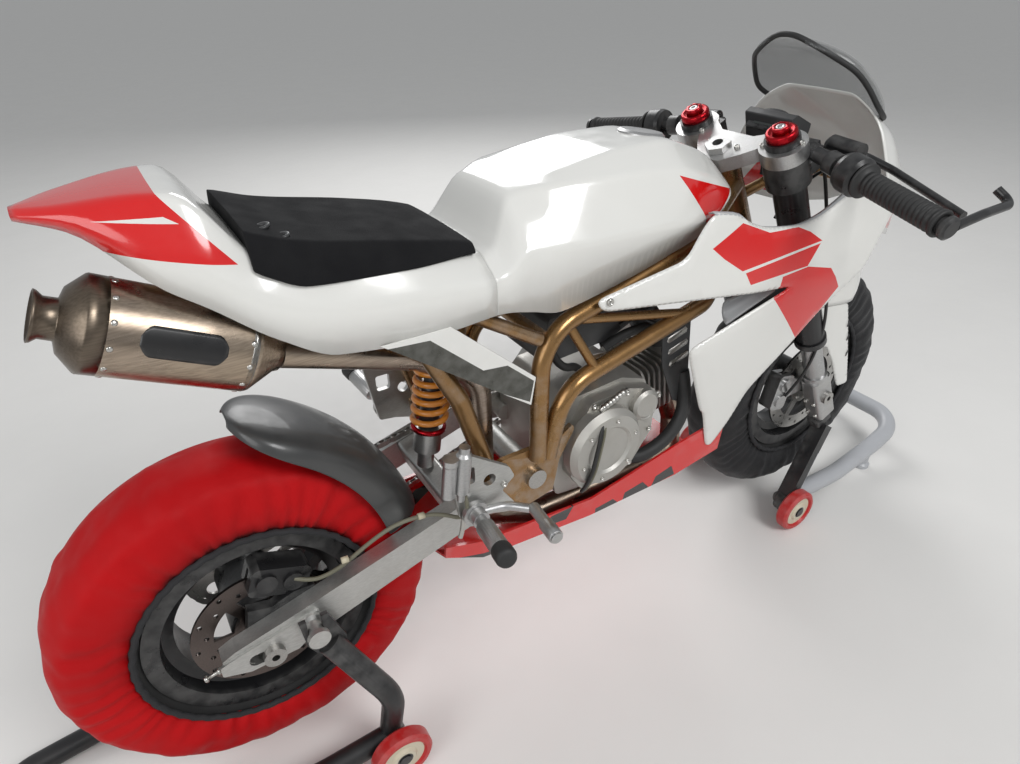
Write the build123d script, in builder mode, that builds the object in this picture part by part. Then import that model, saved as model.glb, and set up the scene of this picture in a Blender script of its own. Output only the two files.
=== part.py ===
from build123d import *
from math import asin, atan2, cos, degrees, radians, sin
import os

os.makedirs("parts", exist_ok=True)

# A mini road racer with ten inch wheels, held level by a paddock stand at each end.
# Millimetres: +X is forward, +Y is the rider's left and +Z is up, with the floor at zero.

# Wheels and stance
wheelbase = 1080.0
rear_x = -524.0                  # rear axle, placed so that both stands reach equally far
front_x = rear_x + wheelbase
rear_z = 275.8                   # both wheels hang clear of the floor
front_z = 272.0
flange_radius = 142.0            # rim of a ten inch wheel
rear_rim_half = 53.0
front_rim_half = 42.0
bead_radius = flange_radius - 14.7
tyre_radius = 217.0
tyre_wall = 8.0
tyre_wide_radius = flange_radius + 26.0     # where a tyre is widest
rear_tyre_half = 61.0
front_tyre_half = 47.0
warmer_loft = 27.5               # quilting over the tread
warmer_radius = tyre_radius + warmer_loft
rear_warmer_half = 73.0
front_warmer_half = 58.0
hem_radius = flange_radius + 7.0
soft_gap = 0.6                   # between a tyre and its warmer
axle_radius = 8.5
running_gap = 0.05               # between an axle and the bore that turns on it
seat_gap = 0.3                   # between faces that slide or rest on one another

# Steering
rake = 26.5                      # from vertical
fork_offset = 40.0               # fork legs ahead of the steering axis
leg_y = 84.0
leg_top = 586.0                  # along the fork from the front axle
leg_foot = -58.0
upper_tube_radius = 25.0
upper_tube_end = 165.0
lower_tube_radius = 18.5
stem_radius = 14.0
head_low = 396.0
head_high = 545.0
head_radius = 26.0

# Frame
rail_radius = 12.5
brace_radius = 6.5
pivot_x = 386.0                  # swingarm pivot, ahead of the rear axle
pivot_z = 390.0
head_x = 770.0                   # where the bodywork meets the steering head
arm_inner_y = 80.0
arm_outer_y = 104.0


def along(x):
    """A place along the machine. Between the pivot and the steering head it stretches with the wheelbase."""
    span = head_x - pivot_x
    stretched = min(max(0.0, x - pivot_x), span) * (span + wheelbase - 1080.0) / span
    return rear_x + min(x, pivot_x) + stretched + max(0.0, x - head_x)


def from_rear(x, y, z):
    return (along(x), y, z)


def from_front(x, y, z):
    return (front_x + x, y, z)


def save(block, name):
    block.part.label = name
    export_step(block.part, f"parts/{name}.step")


def tube(points, bends, radius, bore=0.0):
    """A round tube along straight runs joined by arcs."""
    with BuildPart() as run:
        with BuildLine() as path:
            if len(points) == 2:
                Line(*points)
            else:
                FilletPolyline(*points, radius=bends)
        with BuildSketch(Plane(origin=path.line @ 0, z_dir=path.line % 0)):
            Circle(radius)
            if bore:
                Circle(bore, mode=Mode.SUBTRACT)
        sweep()
    return run.part


def side_plane(y):
    """A plane facing the right side, with its own X forward and its own Y up."""
    return Plane(origin=(0, y, 0), x_dir=(1, 0, 0), z_dir=(0, -1, 0))


def wheel_plane(x, z):
    """A plane through a wheel's axle, with its own X along the axle and its own Y upward."""
    return Plane(origin=(x, 0, z), x_dir=(0, 1, 0), z_dir=(1, 0, 0))


def axle_axis(x, z):
    return Axis((x, 0, z), (0, 1, 0))


def mirrored(points):
    return points + [(-w, r) for w, r in reversed(points)]


def fork_plane(height=0.0):
    """Across the fork at a height along it, with X ahead of the legs and Y to the left."""
    tilt = radians(rake)
    level = Plane(origin=(front_x, 0, front_z), x_dir=(cos(tilt), 0, sin(tilt)),
                  z_dir=(-sin(tilt), 0, cos(tilt)))
    return level.offset(height)


def fork_point(u, y, s):
    tilt = radians(rake)
    return (front_x + u * cos(tilt) - s * sin(tilt), y, front_z + u * sin(tilt) + s * cos(tilt))


# Wheels

def rim_block(x, z, half, hub_half, spoke_half):
    """A cast wheel with three forked spokes."""
    flange = mirrored([(-half, flange_radius), (-half + 5, flange_radius), (-half + 8, flange_radius - 15),
                       (-half + 20, flange_radius - 18), (-half + 27, flange_radius - 34)])
    inside = mirrored([(-half, flange_radius - 21), (-half + 18, flange_radius - 25), (-half + 24, flange_radius - 40)])
    spoke_end = flange_radius - 38
    with BuildPart() as wheel:
        with BuildSketch(wheel_plane(x, z)):
            with BuildLine():
                Polyline(*flange, *reversed(inside), close=True)
            make_face()
            with Locations((0, 19)):
                Rectangle(2 * hub_half, 38)
        revolve(axis=axle_axis(x, z))
        with BuildSketch(Plane(origin=(x, 0, z), x_dir=(1, 0, 0), z_dir=(0, -1, 0))):
            with PolarLocations(0, 3, start_angle=20):
                with BuildLine():
                    Polyline((26, -15), (58, -11), (spoke_end, -44), (spoke_end, -24), (72, 0), (spoke_end, 24),
                             (spoke_end, 44), (58, 11), (26, 15), close=True)
                make_face()
        extrude(amount=spoke_half, both=True)
        with BuildSketch(Plane(origin=(x, 0, z), x_dir=(1, 0, 0), z_dir=(0, -1, 0))):
            Circle(axle_radius + running_gap)
        extrude(amount=hub_half + 20, both=True, mode=Mode.SUBTRACT)
    return wheel


def tyre_section(half, rim_half, radius, grow=0.0):
    """Half a ring section from bead to bead, closed across the rim, grown or shrunk all round."""
    bead = rim_half - 8.4
    wide = half + grow
    with BuildSketch(mode=Mode.PRIVATE) as section:
        with BuildLine():
            Polyline((bead + grow, bead_radius), (bead + 3 + grow, flange_radius + 1), (wide, tyre_wide_radius))
            ThreePointArc((wide, tyre_wide_radius), (0, radius + grow), (-wide, tyre_wide_radius))
            Polyline((-wide, tyre_wide_radius), (-bead - 3 - grow, flange_radius + 1), (-bead - grow, bead_radius),
                     (bead + grow, bead_radius))
        make_face()
    return section.sketch


def tyre_block(x, z, half, rim_half):
    with BuildPart() as tyre:
        with BuildSketch(wheel_plane(x, z)):
            add(tyre_section(half, rim_half, tyre_radius))
            add(tyre_section(half, rim_half, tyre_radius, -tyre_wall), mode=Mode.SUBTRACT)
        revolve(axis=axle_axis(x, z))
    return tyre


def warmer_block(x, z, half, tyre_half, rim_half, left_half):
    """A quilted jacket gathered at a hem on each side of the tyre."""
    hem_y = tyre_half + 4
    left_hem_y = min(hem_y, left_half)
    crown_z = warmer_radius - 1.5
    shoulder_z = tyre_wide_radius + 18
    with BuildPart() as jacket:
        with BuildSketch(wheel_plane(x, z)):
            with BuildLine():
                Line((-hem_y, hem_radius), (-half, shoulder_z))
                ThreePointArc((-half, shoulder_z), (-half + 14, crown_z - 15), (-half * 0.4, crown_z))
                ThreePointArc((-half * 0.4, crown_z), (0, warmer_radius), (left_half * 0.4, crown_z))
                ThreePointArc((left_half * 0.4, crown_z), (left_half - 14, crown_z - 15), (left_half, shoulder_z))
                Polyline((left_half, shoulder_z), (left_hem_y, hem_radius), (-hem_y, hem_radius))
            make_face()
            add(tyre_section(tyre_half, rim_half, tyre_radius, soft_gap), mode=Mode.SUBTRACT)
        revolve(axis=axle_axis(x, z))
    return jacket


rear_rim = rim_block(rear_x, rear_z, rear_rim_half, 52.0, 10.0)
save(rear_rim, "rear_rim")
front_rim = rim_block(front_x, front_z, front_rim_half, 40.0, 9.0)
save(front_rim, "front_rim")
rear_tyre = tyre_block(rear_x, rear_z, rear_tyre_half, rear_rim_half)
save(rear_tyre, "rear_tyre")
front_tyre = tyre_block(front_x, front_z, front_tyre_half, front_rim_half)
save(front_tyre, "front_tyre")
rear_warmer = warmer_block(rear_x, rear_z, rear_warmer_half, rear_tyre_half, rear_rim_half, 63.5)
save(rear_warmer, "rear_tyre_warmer")
front_warmer = warmer_block(front_x, front_z, front_warmer_half, front_tyre_half, front_rim_half, front_warmer_half)
save(front_warmer, "front_tyre_warmer")

# Rear brake disc and sprocket, which turn with the wheel
rear_disc_y = -60.0              # outer face of the disc
disc_thick = 4.0
rear_disc_radius = 88.0
front_disc_radius = 96.0
front_disc_y = -52.0
sprocket_y = 74.5                # outer face
sprocket_thick = 4.0
sprocket_radius = 72.0
chain_inner_y = sprocket_y - sprocket_thick / 2 - 4.0


def disc_block(x, z, face_y, radius, hub_y):
    """A drilled disc on a three legged carrier that bolts to the hub."""
    face = Plane(origin=(x, face_y, z), x_dir=(1, 0, 0), z_dir=(0, 1, 0))
    with BuildPart() as disc:
        with BuildSketch(face):
            Circle(radius)
            Circle(radius - 27, mode=Mode.SUBTRACT)
            with PolarLocations(radius - 7, 12):
                Circle(3.2, mode=Mode.SUBTRACT)
            with PolarLocations(radius - 19, 12, start_angle=15):
                Circle(3.2, mode=Mode.SUBTRACT)
            Circle(36)
            with PolarLocations(radius / 2, 6):
                Rectangle(radius - 32, 15)
            Circle(axle_radius + 4, mode=Mode.SUBTRACT)
        extrude(amount=disc_thick)
        with BuildSketch(face.offset(disc_thick)):
            Circle(30)
            Circle(axle_radius + 4, mode=Mode.SUBTRACT)
        extrude(amount=abs(face_y - hub_y) - disc_thick)
    return disc


rear_disc = disc_block(rear_x, rear_z, rear_disc_y, rear_disc_radius, -52.0)
save(rear_disc, "rear_brake_disc")
front_disc = disc_block(front_x, front_z, front_disc_y, front_disc_radius, -40.0)
save(front_disc, "front_brake_disc")

with BuildPart() as sprocket:
    teeth = 36
    with BuildSketch(Plane(origin=(rear_x, sprocket_y, rear_z), x_dir=(1, 0, 0), z_dir=(0, -1, 0))):
        with BuildLine():
            rim = []
            for tooth in range(teeth):
                for share, reach in ((0.0, 3.5), (0.28, 3.5), (0.42, -2.5), (0.86, -2.5)):
                    turn = radians(360 * (tooth + share) / teeth)
                    rim.append(((sprocket_radius + reach) * cos(turn), (sprocket_radius + reach) * sin(turn)))
            Polyline(*rim, close=True)
        make_face()
        with PolarLocations(50, 5):
            Circle(11, mode=Mode.SUBTRACT)
        Circle(axle_radius + 4, mode=Mode.SUBTRACT)
    extrude(amount=sprocket_thick)
    with BuildSketch(Plane(origin=(rear_x, sprocket_y - sprocket_thick, rear_z), x_dir=(1, 0, 0), z_dir=(0, -1, 0))):
        Circle(32)
        Circle(axle_radius + 4, mode=Mode.SUBTRACT)
    extrude(amount=sprocket_y - sprocket_thick - 52.0)
save(sprocket, "rear_sprocket")

# Swingarm, with a box section arm each side, a bridge ahead of the wheel and a pivot tube
arm_height = 42.0
bridge_x = warmer_radius + 36.5  # between the wheel and the pivot
bridge_z = 361.0
bridge_height = 42.0
pivot_tube_radius = 17.0
arm_slope = atan2(pivot_z - 284.0, pivot_x)

with BuildPart() as swingarm:
    for inner, outer in ((arm_inner_y, arm_outer_y), (-arm_outer_y, -arm_inner_y)):
        with BuildSketch(side_plane(outer)):
            with BuildLine():
                Polyline((rear_x - 42, 268.0), (rear_x - 58, 276.0), (rear_x - 58, 292.0), (rear_x - 40, 300.0),
                         (rear_x + 30, 317.0), (rear_x + pivot_x, pivot_z + 22), (rear_x + pivot_x + 18, pivot_z),
                         (along(pivot_x), pivot_z - 22), (rear_x + 70, 274.0), (rear_x + 30, 262.0),
                         close=True)
            make_face()
            fillet(vertices(), 3)
        extrude(amount=outer - inner)
    with BuildSketch(side_plane(arm_inner_y)):
        with Locations((rear_x + bridge_x, bridge_z)):
            Rectangle(34, bridge_height, rotation=degrees(arm_slope))
        fillet(vertices(), 6)
    extrude(amount=2 * arm_inner_y)
    with BuildSketch(side_plane(arm_outer_y)):
        with Locations((along(pivot_x), pivot_z)):
            Circle(pivot_tube_radius)
    extrude(amount=2 * arm_outer_y)
    # Axle slots and pivot bore
    with BuildSketch(side_plane(arm_outer_y + 1)):
        with Locations((rear_x - 8, rear_z)):
            SlotOverall(42, 2 * axle_radius + 2)
        with Locations((along(pivot_x), pivot_z)):
            Circle(axle_radius)
    extrude(amount=2 * arm_outer_y + 2, mode=Mode.SUBTRACT)
save(swingarm, "swingarm")

# Pivot bolt and rear axle, which hold the swingarm and the wheel
plate_inner_y = 106.0
plate_thick = 8.0


def turned(origin, direction, profile):
    """A solid turned about an axis, from radius and distance pairs measured along it."""
    along = Vector(*direction).normalized()
    side = Vector(1, 0, 0) if abs(along.Y) > 0.9 else Vector(0, 1, 0)
    across = along.cross(side).normalized()
    with BuildPart() as body:
        with BuildSketch(Plane(origin=origin, x_dir=across, z_dir=across.cross(along))):
            with BuildLine():
                Polyline(*profile, close=True)
            make_face()
        revolve(axis=Axis(origin, along))
    return body.part


def bolt_profile(radius, head, half, head_thick):
    return [(0, -half - head_thick), (head, -half - head_thick), (head, -half), (radius, -half),
            (radius, half), (head, half), (head, half + head_thick), (0, half + head_thick)]


with BuildPart() as rear_axle:
    add(turned((rear_x, 0, rear_z), (0, 1, 0), bolt_profile(axle_radius, 14.0, arm_outer_y + 4, 10.0)))
    with BuildSketch(Plane(origin=(rear_x, 0, rear_z), x_dir=(1, 0, 0), z_dir=(0, -1, 0))):
        Circle(5)
    extrude(amount=arm_outer_y + 20, both=True, mode=Mode.SUBTRACT)
save(rear_axle, "rear_axle")

with BuildPart() as pivot_bolt:
    add(turned((along(pivot_x), 0, pivot_z), (0, 1, 0),
               bolt_profile(axle_radius - running_gap, 15.0, plate_inner_y + plate_thick, 8.0)))
save(pivot_bolt, "swingarm_pivot_bolt")

# Axle adjusters, one plate on the outside of each arm end with a spool for the stand
spool_x = 52.0
spool_z = 300.0
spool_reach = 34.0
adjuster_thick = 4.0

with BuildPart() as adjusters:
    for side in (-1, 1):
        outer = side * (arm_outer_y + adjuster_thick) if side > 0 else -arm_outer_y
        with BuildSketch(side_plane(outer)):
            with BuildLine():
                Polyline((rear_x - 62, 272.0), (rear_x - 62, 288.0), (rear_x - 30, 296.0),
                         (rear_x + spool_x + 12, spool_z + 14), (rear_x + spool_x + 16, spool_z - 12),
                         (rear_x + 30, 262.0), (rear_x - 30, 260.0), close=True)
            make_face()
            fillet(vertices(), 4)
            with Locations((rear_x - 8, rear_z)):
                SlotOverall(44, 2 * axle_radius + 1, mode=Mode.SUBTRACT)
        extrude(amount=adjuster_thick)
        base = side * (arm_outer_y + adjuster_thick)
        add(turned((rear_x + spool_x, base, spool_z), (0, side, 0),
                   [(0, 0), (14, 0), (14, 4), (9, 7), (9, 24), (14, 27), (14, spool_reach), (0, spool_reach)]))
save(adjusters, "axle_plates_and_spools")

# Trellis frame of bent tubes, with the head tube and the plates at the pivot
right_tubes = [
    # points, bend radii, tube radius
    ([fork_point(-fork_offset, -18, 508), from_rear(690, -78, 663), from_rear(398, -108, 606),
      from_rear(388, -118.5, 425)], [60, 70], rail_radius),
    ([fork_point(-fork_offset, -18, 424), from_rear(702, -92, 567), from_rear(425, -124, 528),
      from_rear(404, -119, 425)], [60, 58], rail_radius),
    ([from_rear(212, -78, 698), from_rear(284, -98, 545), from_rear(318, -100, 426)], [80], rail_radius),
    ([from_rear(396, -107, 602), from_rear(250, -84, 688), from_rear(100, -64, 742),
      from_rear(-5, -46, 776)], [90, 90], 9.0),
    ([from_rear(462, -105, 612), from_rear(665, -96, 564)], [], brace_radius),
    ([from_rear(444, -104, 606), from_rear(480, -119, 538)], [], brace_radius),
    ([from_rear(520, -108, 541), from_rear(522, -62, 512), from_rear(522, -62, 478.4)], [14], 7.5),
]
tubes = [tube(*run) for run in right_tubes]
head_axis = (-sin(radians(rake)), 0, cos(radians(rake)))

with BuildPart() as trellis:
    for piece in tubes:
        add(piece)
    with BuildSketch(side_plane(-plate_inner_y)):
        with BuildLine():
            Polyline((along(300), 425.0), (along(335), 440.0), (along(425), 440.0), (along(450), 456.0),
                     (along(452), 446.0), (along(428), 403.0), (along(418), 352.0), (along(372), 342.0), (along(345), 366.0), (along(302), 398.0),
                     close=True)
        make_face()
        fillet(vertices(), 3)
    extrude(amount=plate_thick)
    mirror(about=Plane.XZ)
    with BuildSketch(side_plane(plate_inner_y + plate_thick)):
        with Locations((along(pivot_x), pivot_z)):
            Circle(axle_radius)
    extrude(amount=2 * (plate_inner_y + plate_thick), mode=Mode.SUBTRACT)
    # Stay for the nose and the instruments, between the fork legs
    stay = tube([from_rear(850, 0, 682), from_rear(930, 0, 700), from_rear(1010, 0, 702)], [60], 9.0)
    add(stay)
    with BuildSketch(side_plane(147)):
        with Locations((along(1010), 702)):
            Circle(6)
    extrude(amount=294)
    # Hoop over the shock absorber
    hoop = [from_rear(252, -89, 604.4), from_rear(306, -62, 604.4), from_rear(306, 62, 604.4), from_rear(252, 89, 604.4)]
    add(tube(hoop, [20, 20], 9.0))
    for x, z, reach in ((405, 600, 104), (5, 773, 46)):
        with BuildSketch(side_plane(reach)):
            with Locations((rear_x + x, z)):
                Circle(9)
        extrude(amount=2 * reach)
    with BuildSketch(fork_plane(head_low)):
        with Locations((-fork_offset, 0)):
            Circle(head_radius)
    extrude(amount=head_high - head_low)
    with BuildSketch(fork_plane(head_low)):
        with Locations((-fork_offset, 0)):
            Circle(stem_radius + running_gap)
    extrude(amount=head_high - head_low, mode=Mode.SUBTRACT)
save(trellis, "trellis_frame")

# Engine, a single with its cylinder laid forward
crank_half = 84.0
cover_x = 505.0
cover_z = 399.0

case_left = 64.0
front_sprocket_x = 436.0
front_sprocket_z = 390.0
front_sprocket_radius = 31.0
chain_half = 5.0

with BuildPart() as crankcase:
    with BuildSketch(side_plane(case_left)):
        with BuildLine():
            Polyline((along(438), 440.0), (along(470), 474.0), (along(560), 480.0), (along(608), 462.0),
                     (along(618), 430.0), (along(618), 362.0), (along(580), 318.0), (along(500), 300.0),
                     (along(446), 306.0), (along(438), 345.0), close=True)
        make_face()
        fillet(vertices(), 10)
    extrude(amount=crank_half + case_left)
    # Boss for the bolt at the right frame plate
    add(turned((along(444), -crank_half, 443), (0, -1, 0),
               [(0, -10), (7, -10), (7, plate_inner_y - crank_half - seat_gap), (0, plate_inner_y - crank_half - seat_gap)]))
    # Drive shaft and front sprocket
    add(turned((along(front_sprocket_x), case_left, front_sprocket_z), (0, 1, 0),
               [(0, -20), (14, -20), (14, 6.5), (25, 6.5), (25, 10.5), (12, 10.5), (12, 15), (0, 15)]))
save(crankcase, "crankcase")

with BuildPart() as clutch_cover:
    with BuildSketch(side_plane(-crank_half)):
        with BuildLine():
            Polyline((along(466), 432.0), (along(488), 472.0), (along(556), 474.0), (along(612), 456.0),
                     (along(610), 380.0), (along(572), 326.0), (along(480), 316.0), (along(456), 352.0),
                     close=True)
        make_face()
        fillet(vertices(), 16)
    extrude(amount=22)
    add(turned((along(cover_x), -crank_half - 22, cover_z), (0, -1, 0),
               [(0, 0), (64, 0), (64, 16), (57, 26), (40, 28), (36, 24), (0, 24)]))
    add(turned((along(585), -crank_half - 22, 440), (0, -1, 0), [(0, 0), (24, 0), (24, 8), (19, 12), (0, 12)]))
save(clutch_cover, "clutch_cover")

with BuildPart() as generator_cover:
    with BuildSketch(side_plane(crank_half + 20)):
        with BuildLine():
            Polyline((along(482), 432.0), (along(510), 464.0), (along(596), 452.0), (along(608), 380.0),
                     (along(566), 328.0), (along(490), 322.0), (along(480), 345.0), close=True)
        make_face()
        fillet(vertices(), 12)
    extrude(amount=crank_half + 20 - case_left)
    add(turned((along(540), crank_half + 20, 394), (0, 1, 0), [(0, 0), (52, 0), (52, 8), (44, 16), (0, 16)]))
save(generator_cover, "generator_cover")

barrel_start = 618.0
barrel_z = 400.0
fin_gap = 11.0
fin_count = 7
barrel_angle = 8.0

with BuildPart() as barrel:
    barrel_plane = Plane(origin=from_rear(barrel_start, 0, barrel_z),
                         x_dir=(0, 1, 0), z_dir=(cos(radians(barrel_angle)), 0, sin(radians(barrel_angle))))
    with BuildSketch(barrel_plane.offset(7)):
        Circle(40)
    extrude(amount=fin_gap * fin_count - 7)
    for fin in range(fin_count):
        with BuildSketch(barrel_plane.offset(7 + fin * fin_gap)):
            RectangleRounded(112, 96, 14)
        extrude(amount=4)
save(barrel, "cylinder_barrel")

head_length = 44.0
with BuildPart() as cylinder_head:
    with BuildSketch(barrel_plane.offset(fin_gap * fin_count)):
        RectangleRounded(104, 92, 12)
    extrude(amount=head_length - 14)
    with BuildSketch(barrel_plane.offset(fin_gap * fin_count + head_length - 14)):
        RectangleRounded(84, 78, 12)
    extrude(amount=14)
save(cylinder_head, "cylinder_head")

# Intake under the tank cover
with BuildPart() as intake:
    with BuildSketch(side_plane(48)):
        with BuildLine():
            Polyline((along(440), 520.0), (along(450), 590.0), (along(640), 590.0), (along(650), 566.0),
                     (along(560), 528.0), close=True)
        make_face()
        fillet(vertices(), 8)
    extrude(amount=96)
    port = Vector(*from_rear(710, 0, 459.3))
    add(turned(tuple(port), (-0.139, 0, 0.99), [(0, seat_gap), (19, seat_gap), (19, 26), (0, 26)]))
    add(turned(tuple(port + Vector(-1, 0, 8)), (-0.6, 0, 0.8),
               [(0, 4), (16, 8), (19, 26), (26, 28), (26, 62), (21, 66), (21, 118), (0, 118)]))
save(intake, "airbox_and_throttle_body")

# Exhaust, from the port round under the engine and up to the silencer
pipe_radius = 17.0
silencer_y = -62.0
silencer_angle = 26.0
silencer_radius = 46.0
silencer_front = from_rear(92, silencer_y, 656)
silencer_along = (-cos(radians(silencer_angle)), 0, sin(radians(silencer_angle)))
pipe = tube([from_rear(716.5, -26, 363), from_rear(726, -36, 322), from_rear(712, -56, 272), from_rear(660, -58, 262),
             from_rear(420, -55, 262), from_rear(336, -55, 300), from_rear(333, -56, 545), from_rear(250, -59, 600),
             silencer_front], [22, 30, 45, 45, 45, 60, 40], pipe_radius, pipe_radius - 1.5)
with BuildPart() as header:
    add(pipe)
save(header, "exhaust_pipe")
silencer_profile = [(0, 2.3), (pipe_radius + 3, 2.3), (silencer_radius, 34), (silencer_radius, 182),
                    (30, 200), (19, 203), (19, 214), (24, 219), (24, 222), (16, 222), (16, 150), (0, 150)]
with BuildPart() as silencer:
    add(turned(silencer_front, silencer_along, silencer_profile))
save(silencer, "silencer")

# Fork, in the frame of its own legs


def leg_pair(low, high, radius, bore=0.0):
    with BuildPart(mode=Mode.PRIVATE) as pair:
        with BuildSketch(fork_plane(low)):
            with Locations((0, leg_y), (0, -leg_y)):
                Circle(radius)
                if bore:
                    Circle(bore, mode=Mode.SUBTRACT)
        extrude(amount=high - low)
    return pair.part


yoke_thick = 22.0
upper_yoke_low = head_high + 3
lower_yoke_low = head_low - yoke_thick - 3

with BuildPart() as upper_yoke:
    with BuildSketch(fork_plane(upper_yoke_low)):
        with BuildLine():
            Polyline((-fork_offset - 26, -20), (-fork_offset - 26, 20), (-fork_offset, 44), (-16, 62), (-12, leg_y + 30),
                     (14, leg_y + 30), (20, 60), (0, 30), (0, -30), (20, -60), (14, -leg_y - 30),
                     (-12, -leg_y - 30), (-16, -62), (-fork_offset, -44), close=True)
        make_face()
        fillet(vertices(), 7)
        with Locations((0, leg_y), (0, -leg_y)):
            Circle(34)
            Circle(upper_tube_radius, mode=Mode.SUBTRACT)
        with Locations((-fork_offset, 0)):
            Circle(stem_radius, mode=Mode.SUBTRACT)
    extrude(amount=yoke_thick)
save(upper_yoke, "upper_yoke")

with BuildPart() as lower_yoke:
    with BuildSketch(fork_plane(lower_yoke_low)):
        with BuildLine():
            Polyline((-fork_offset - 24, -20), (-fork_offset - 24, 20), (-18, 60), (-18, leg_y + 20), (18, leg_y + 20),
                     (18, 40), (2, 24), (2, -24), (18, -40), (18, -leg_y - 20), (-18, -leg_y - 20), (-18, -60),
                     close=True)
        make_face()
        fillet(vertices(), 7)
        with Locations((0, leg_y), (0, -leg_y)):
            Circle(34)
            Circle(upper_tube_radius, mode=Mode.SUBTRACT)
    extrude(amount=yoke_thick)
    with BuildSketch(fork_plane(lower_yoke_low)):
        with Locations((-fork_offset, 0)):
            Circle(stem_radius)
            Circle(8, mode=Mode.SUBTRACT)
    extrude(amount=upper_yoke_low + yoke_thick - lower_yoke_low)
    with BuildSketch(fork_plane(lower_yoke_low)):
        with Locations((-fork_offset, 0)):
            Circle(8)
    extrude(amount=yoke_thick, mode=Mode.SUBTRACT)
    with BuildSketch(fork_plane(upper_yoke_low + yoke_thick + seat_gap)):
        with Locations((-fork_offset, 0)):
            RegularPolygon(20, 6)
            Circle(8, mode=Mode.SUBTRACT)
    extrude(amount=10)
    with BuildSketch(fork_plane(upper_yoke_low + yoke_thick)):
        with Locations((-fork_offset, 0)):
            Circle(stem_radius)
            Circle(8, mode=Mode.SUBTRACT)
    extrude(amount=2)
save(lower_yoke, "lower_yoke_and_stem")

with BuildPart() as upper_tubes:
    add(leg_pair(upper_tube_end, leg_top - 6, upper_tube_radius))
    add(leg_pair(upper_tube_end - 12, upper_tube_end, upper_tube_radius + 3))
save(upper_tubes, "fork_upper_tubes")

clamp_top = 62.0
with BuildPart() as axle_clamps:
    add(leg_pair(clamp_top - 2, upper_tube_end - 12, lower_tube_radius))
    with BuildSketch(fork_plane(leg_foot)):
        with Locations((0, leg_y), (0, -leg_y)):
            RectangleRounded(46, 38, 9)
    extrude(amount=clamp_top - 12 - leg_foot)
    add(leg_pair(clamp_top - 12, clamp_top, 22))
    with BuildSketch(side_plane(leg_y + 30)):
        with Locations((front_x, front_z)):
            Circle(axle_radius)
    extrude(amount=2 * (leg_y + 30), mode=Mode.SUBTRACT)
save(axle_clamps, "fork_lower_legs")

with BuildPart() as fork_caps:
    with BuildSketch(fork_plane(leg_top - 6)):
        with Locations((0, leg_y), (0, -leg_y)):
            Circle(22)
    extrude(amount=12)
    with BuildSketch(fork_plane(leg_top + 6)):
        with Locations((0, leg_y), (0, -leg_y)):
            RegularPolygon(14, 6)
    extrude(amount=7)
save(fork_caps, "fork_caps")

with BuildPart() as front_axle:
    add(turned((front_x, 0, front_z), (0, 1, 0), bolt_profile(axle_radius, 13.0, leg_y + 19, 7.0)))
    with BuildSketch(side_plane(leg_y + 30)):
        with Locations((front_x, front_z)):
            Circle(5)
    extrude(amount=2 * (leg_y + 30), mode=Mode.SUBTRACT)
save(front_axle, "front_axle")

# Clip-on bars with their grips and levers
clip_low = upper_yoke_low - 44
bar_radius = 11.0
grip_radius = 16.5
bar_inner = (-220.0, 98.0, 502.0)     # from the front axle
bar_outer = (-263.0, 346.0, 461.0)


def along_bar(y, side, lift=0.0, ahead=0.0):
    share = (y - bar_inner[1]) / (bar_outer[1] - bar_inner[1])
    x, z = (bar_inner[k] + share * (bar_outer[k] - bar_inner[k]) for k in (0, 2))
    return (front_x + x + ahead, side * y, front_z + z + lift)


clamp_height = 43.5
boss_start = 104.0
grip_start = 208.0
bar_tip = 338.5


def bar_run(y, side, profile, lift=0.0, ahead=0.0):
    """A solid turned about a bar, from a point that far out along it."""
    start = Vector(*along_bar(y, side, lift, ahead))
    return turned(tuple(start), Vector(*along_bar(y + 50, side, lift, ahead)) - start, profile)


with BuildPart() as clip_ons:
    for side in (-1, 1):
        with BuildSketch(fork_plane(clip_low)):
            with Locations((0, side * leg_y)):
                Circle(33)
            with Locations((31, side * (leg_y + 6))):
                Rectangle(36, 30)
        extrude(amount=clamp_height)
        add(bar_run(boss_start, side, [(0, -18), (17, -18), (17, 10), (bar_radius, 14), (bar_radius, 240.8), (0, 240.8)]))
    with BuildSketch(fork_plane(clip_low - 20)):
        with Locations((0, leg_y), (0, -leg_y)):
            Circle(upper_tube_radius)
    extrude(amount=90, mode=Mode.SUBTRACT)
    # Room for the yoke above the clamps
    with BuildSketch(fork_plane(clip_low + clamp_height)):
        Rectangle(160, 2 * (leg_y + 37))
    extrude(amount=40, mode=Mode.SUBTRACT)
save(clip_ons, "clip_on_bars")

with BuildPart() as grips:
    for side in (-1, 1):
        add(bar_run(grip_start, side, [(bar_radius, 0), (24, 0), (24, 4), (grip_radius, 8), (grip_radius, 122), (18, 124),
                                       (18, 128), (bar_radius, 128)]))
save(grips, "handlebar_grips")

with BuildPart() as bar_ends:
    for side in (-1, 1):
        add(bar_run(bar_tip, side, [(0, 0), (15, 0), (15, 5), (11, 8), (0, 8)]))
    add(tube([along_bar(342, -1, 0, 13), along_bar(344, -1, 6, 70), along_bar(338, -1, 2, 148),
              along_bar(316, -1, 12, 142)], [40, 14], 6.0))
save(bar_ends, "bar_ends_and_lever_guard")

with BuildPart() as controls:
    for side in (-1, 1):
        add(bar_run(176, side, [(bar_radius, 0), (25, 0), (27, 6), (27, 26), (22, 30), (bar_radius, 30)]))
        add(bar_run(146, side, [(bar_radius, 0), (16, 0), (16, 18), (bar_radius, 18)]))
        add(tube([along_bar(152, side, 4, 14), along_bar(154, side, 4, 62), along_bar(198, side, -2, 78),
                  along_bar(322, side, -6, 66)], [16, 20], 5.5))
        add(turned(along_bar(110, side, 6, 44), (-0.1, side * 0.97, -0.05), [(0, 0), (12, 0), (12, 52), (0, 52)]))
save(controls, "hand_controls")

# Brake calipers, rear sets and pedals
caliper_gap = 2.0


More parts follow.
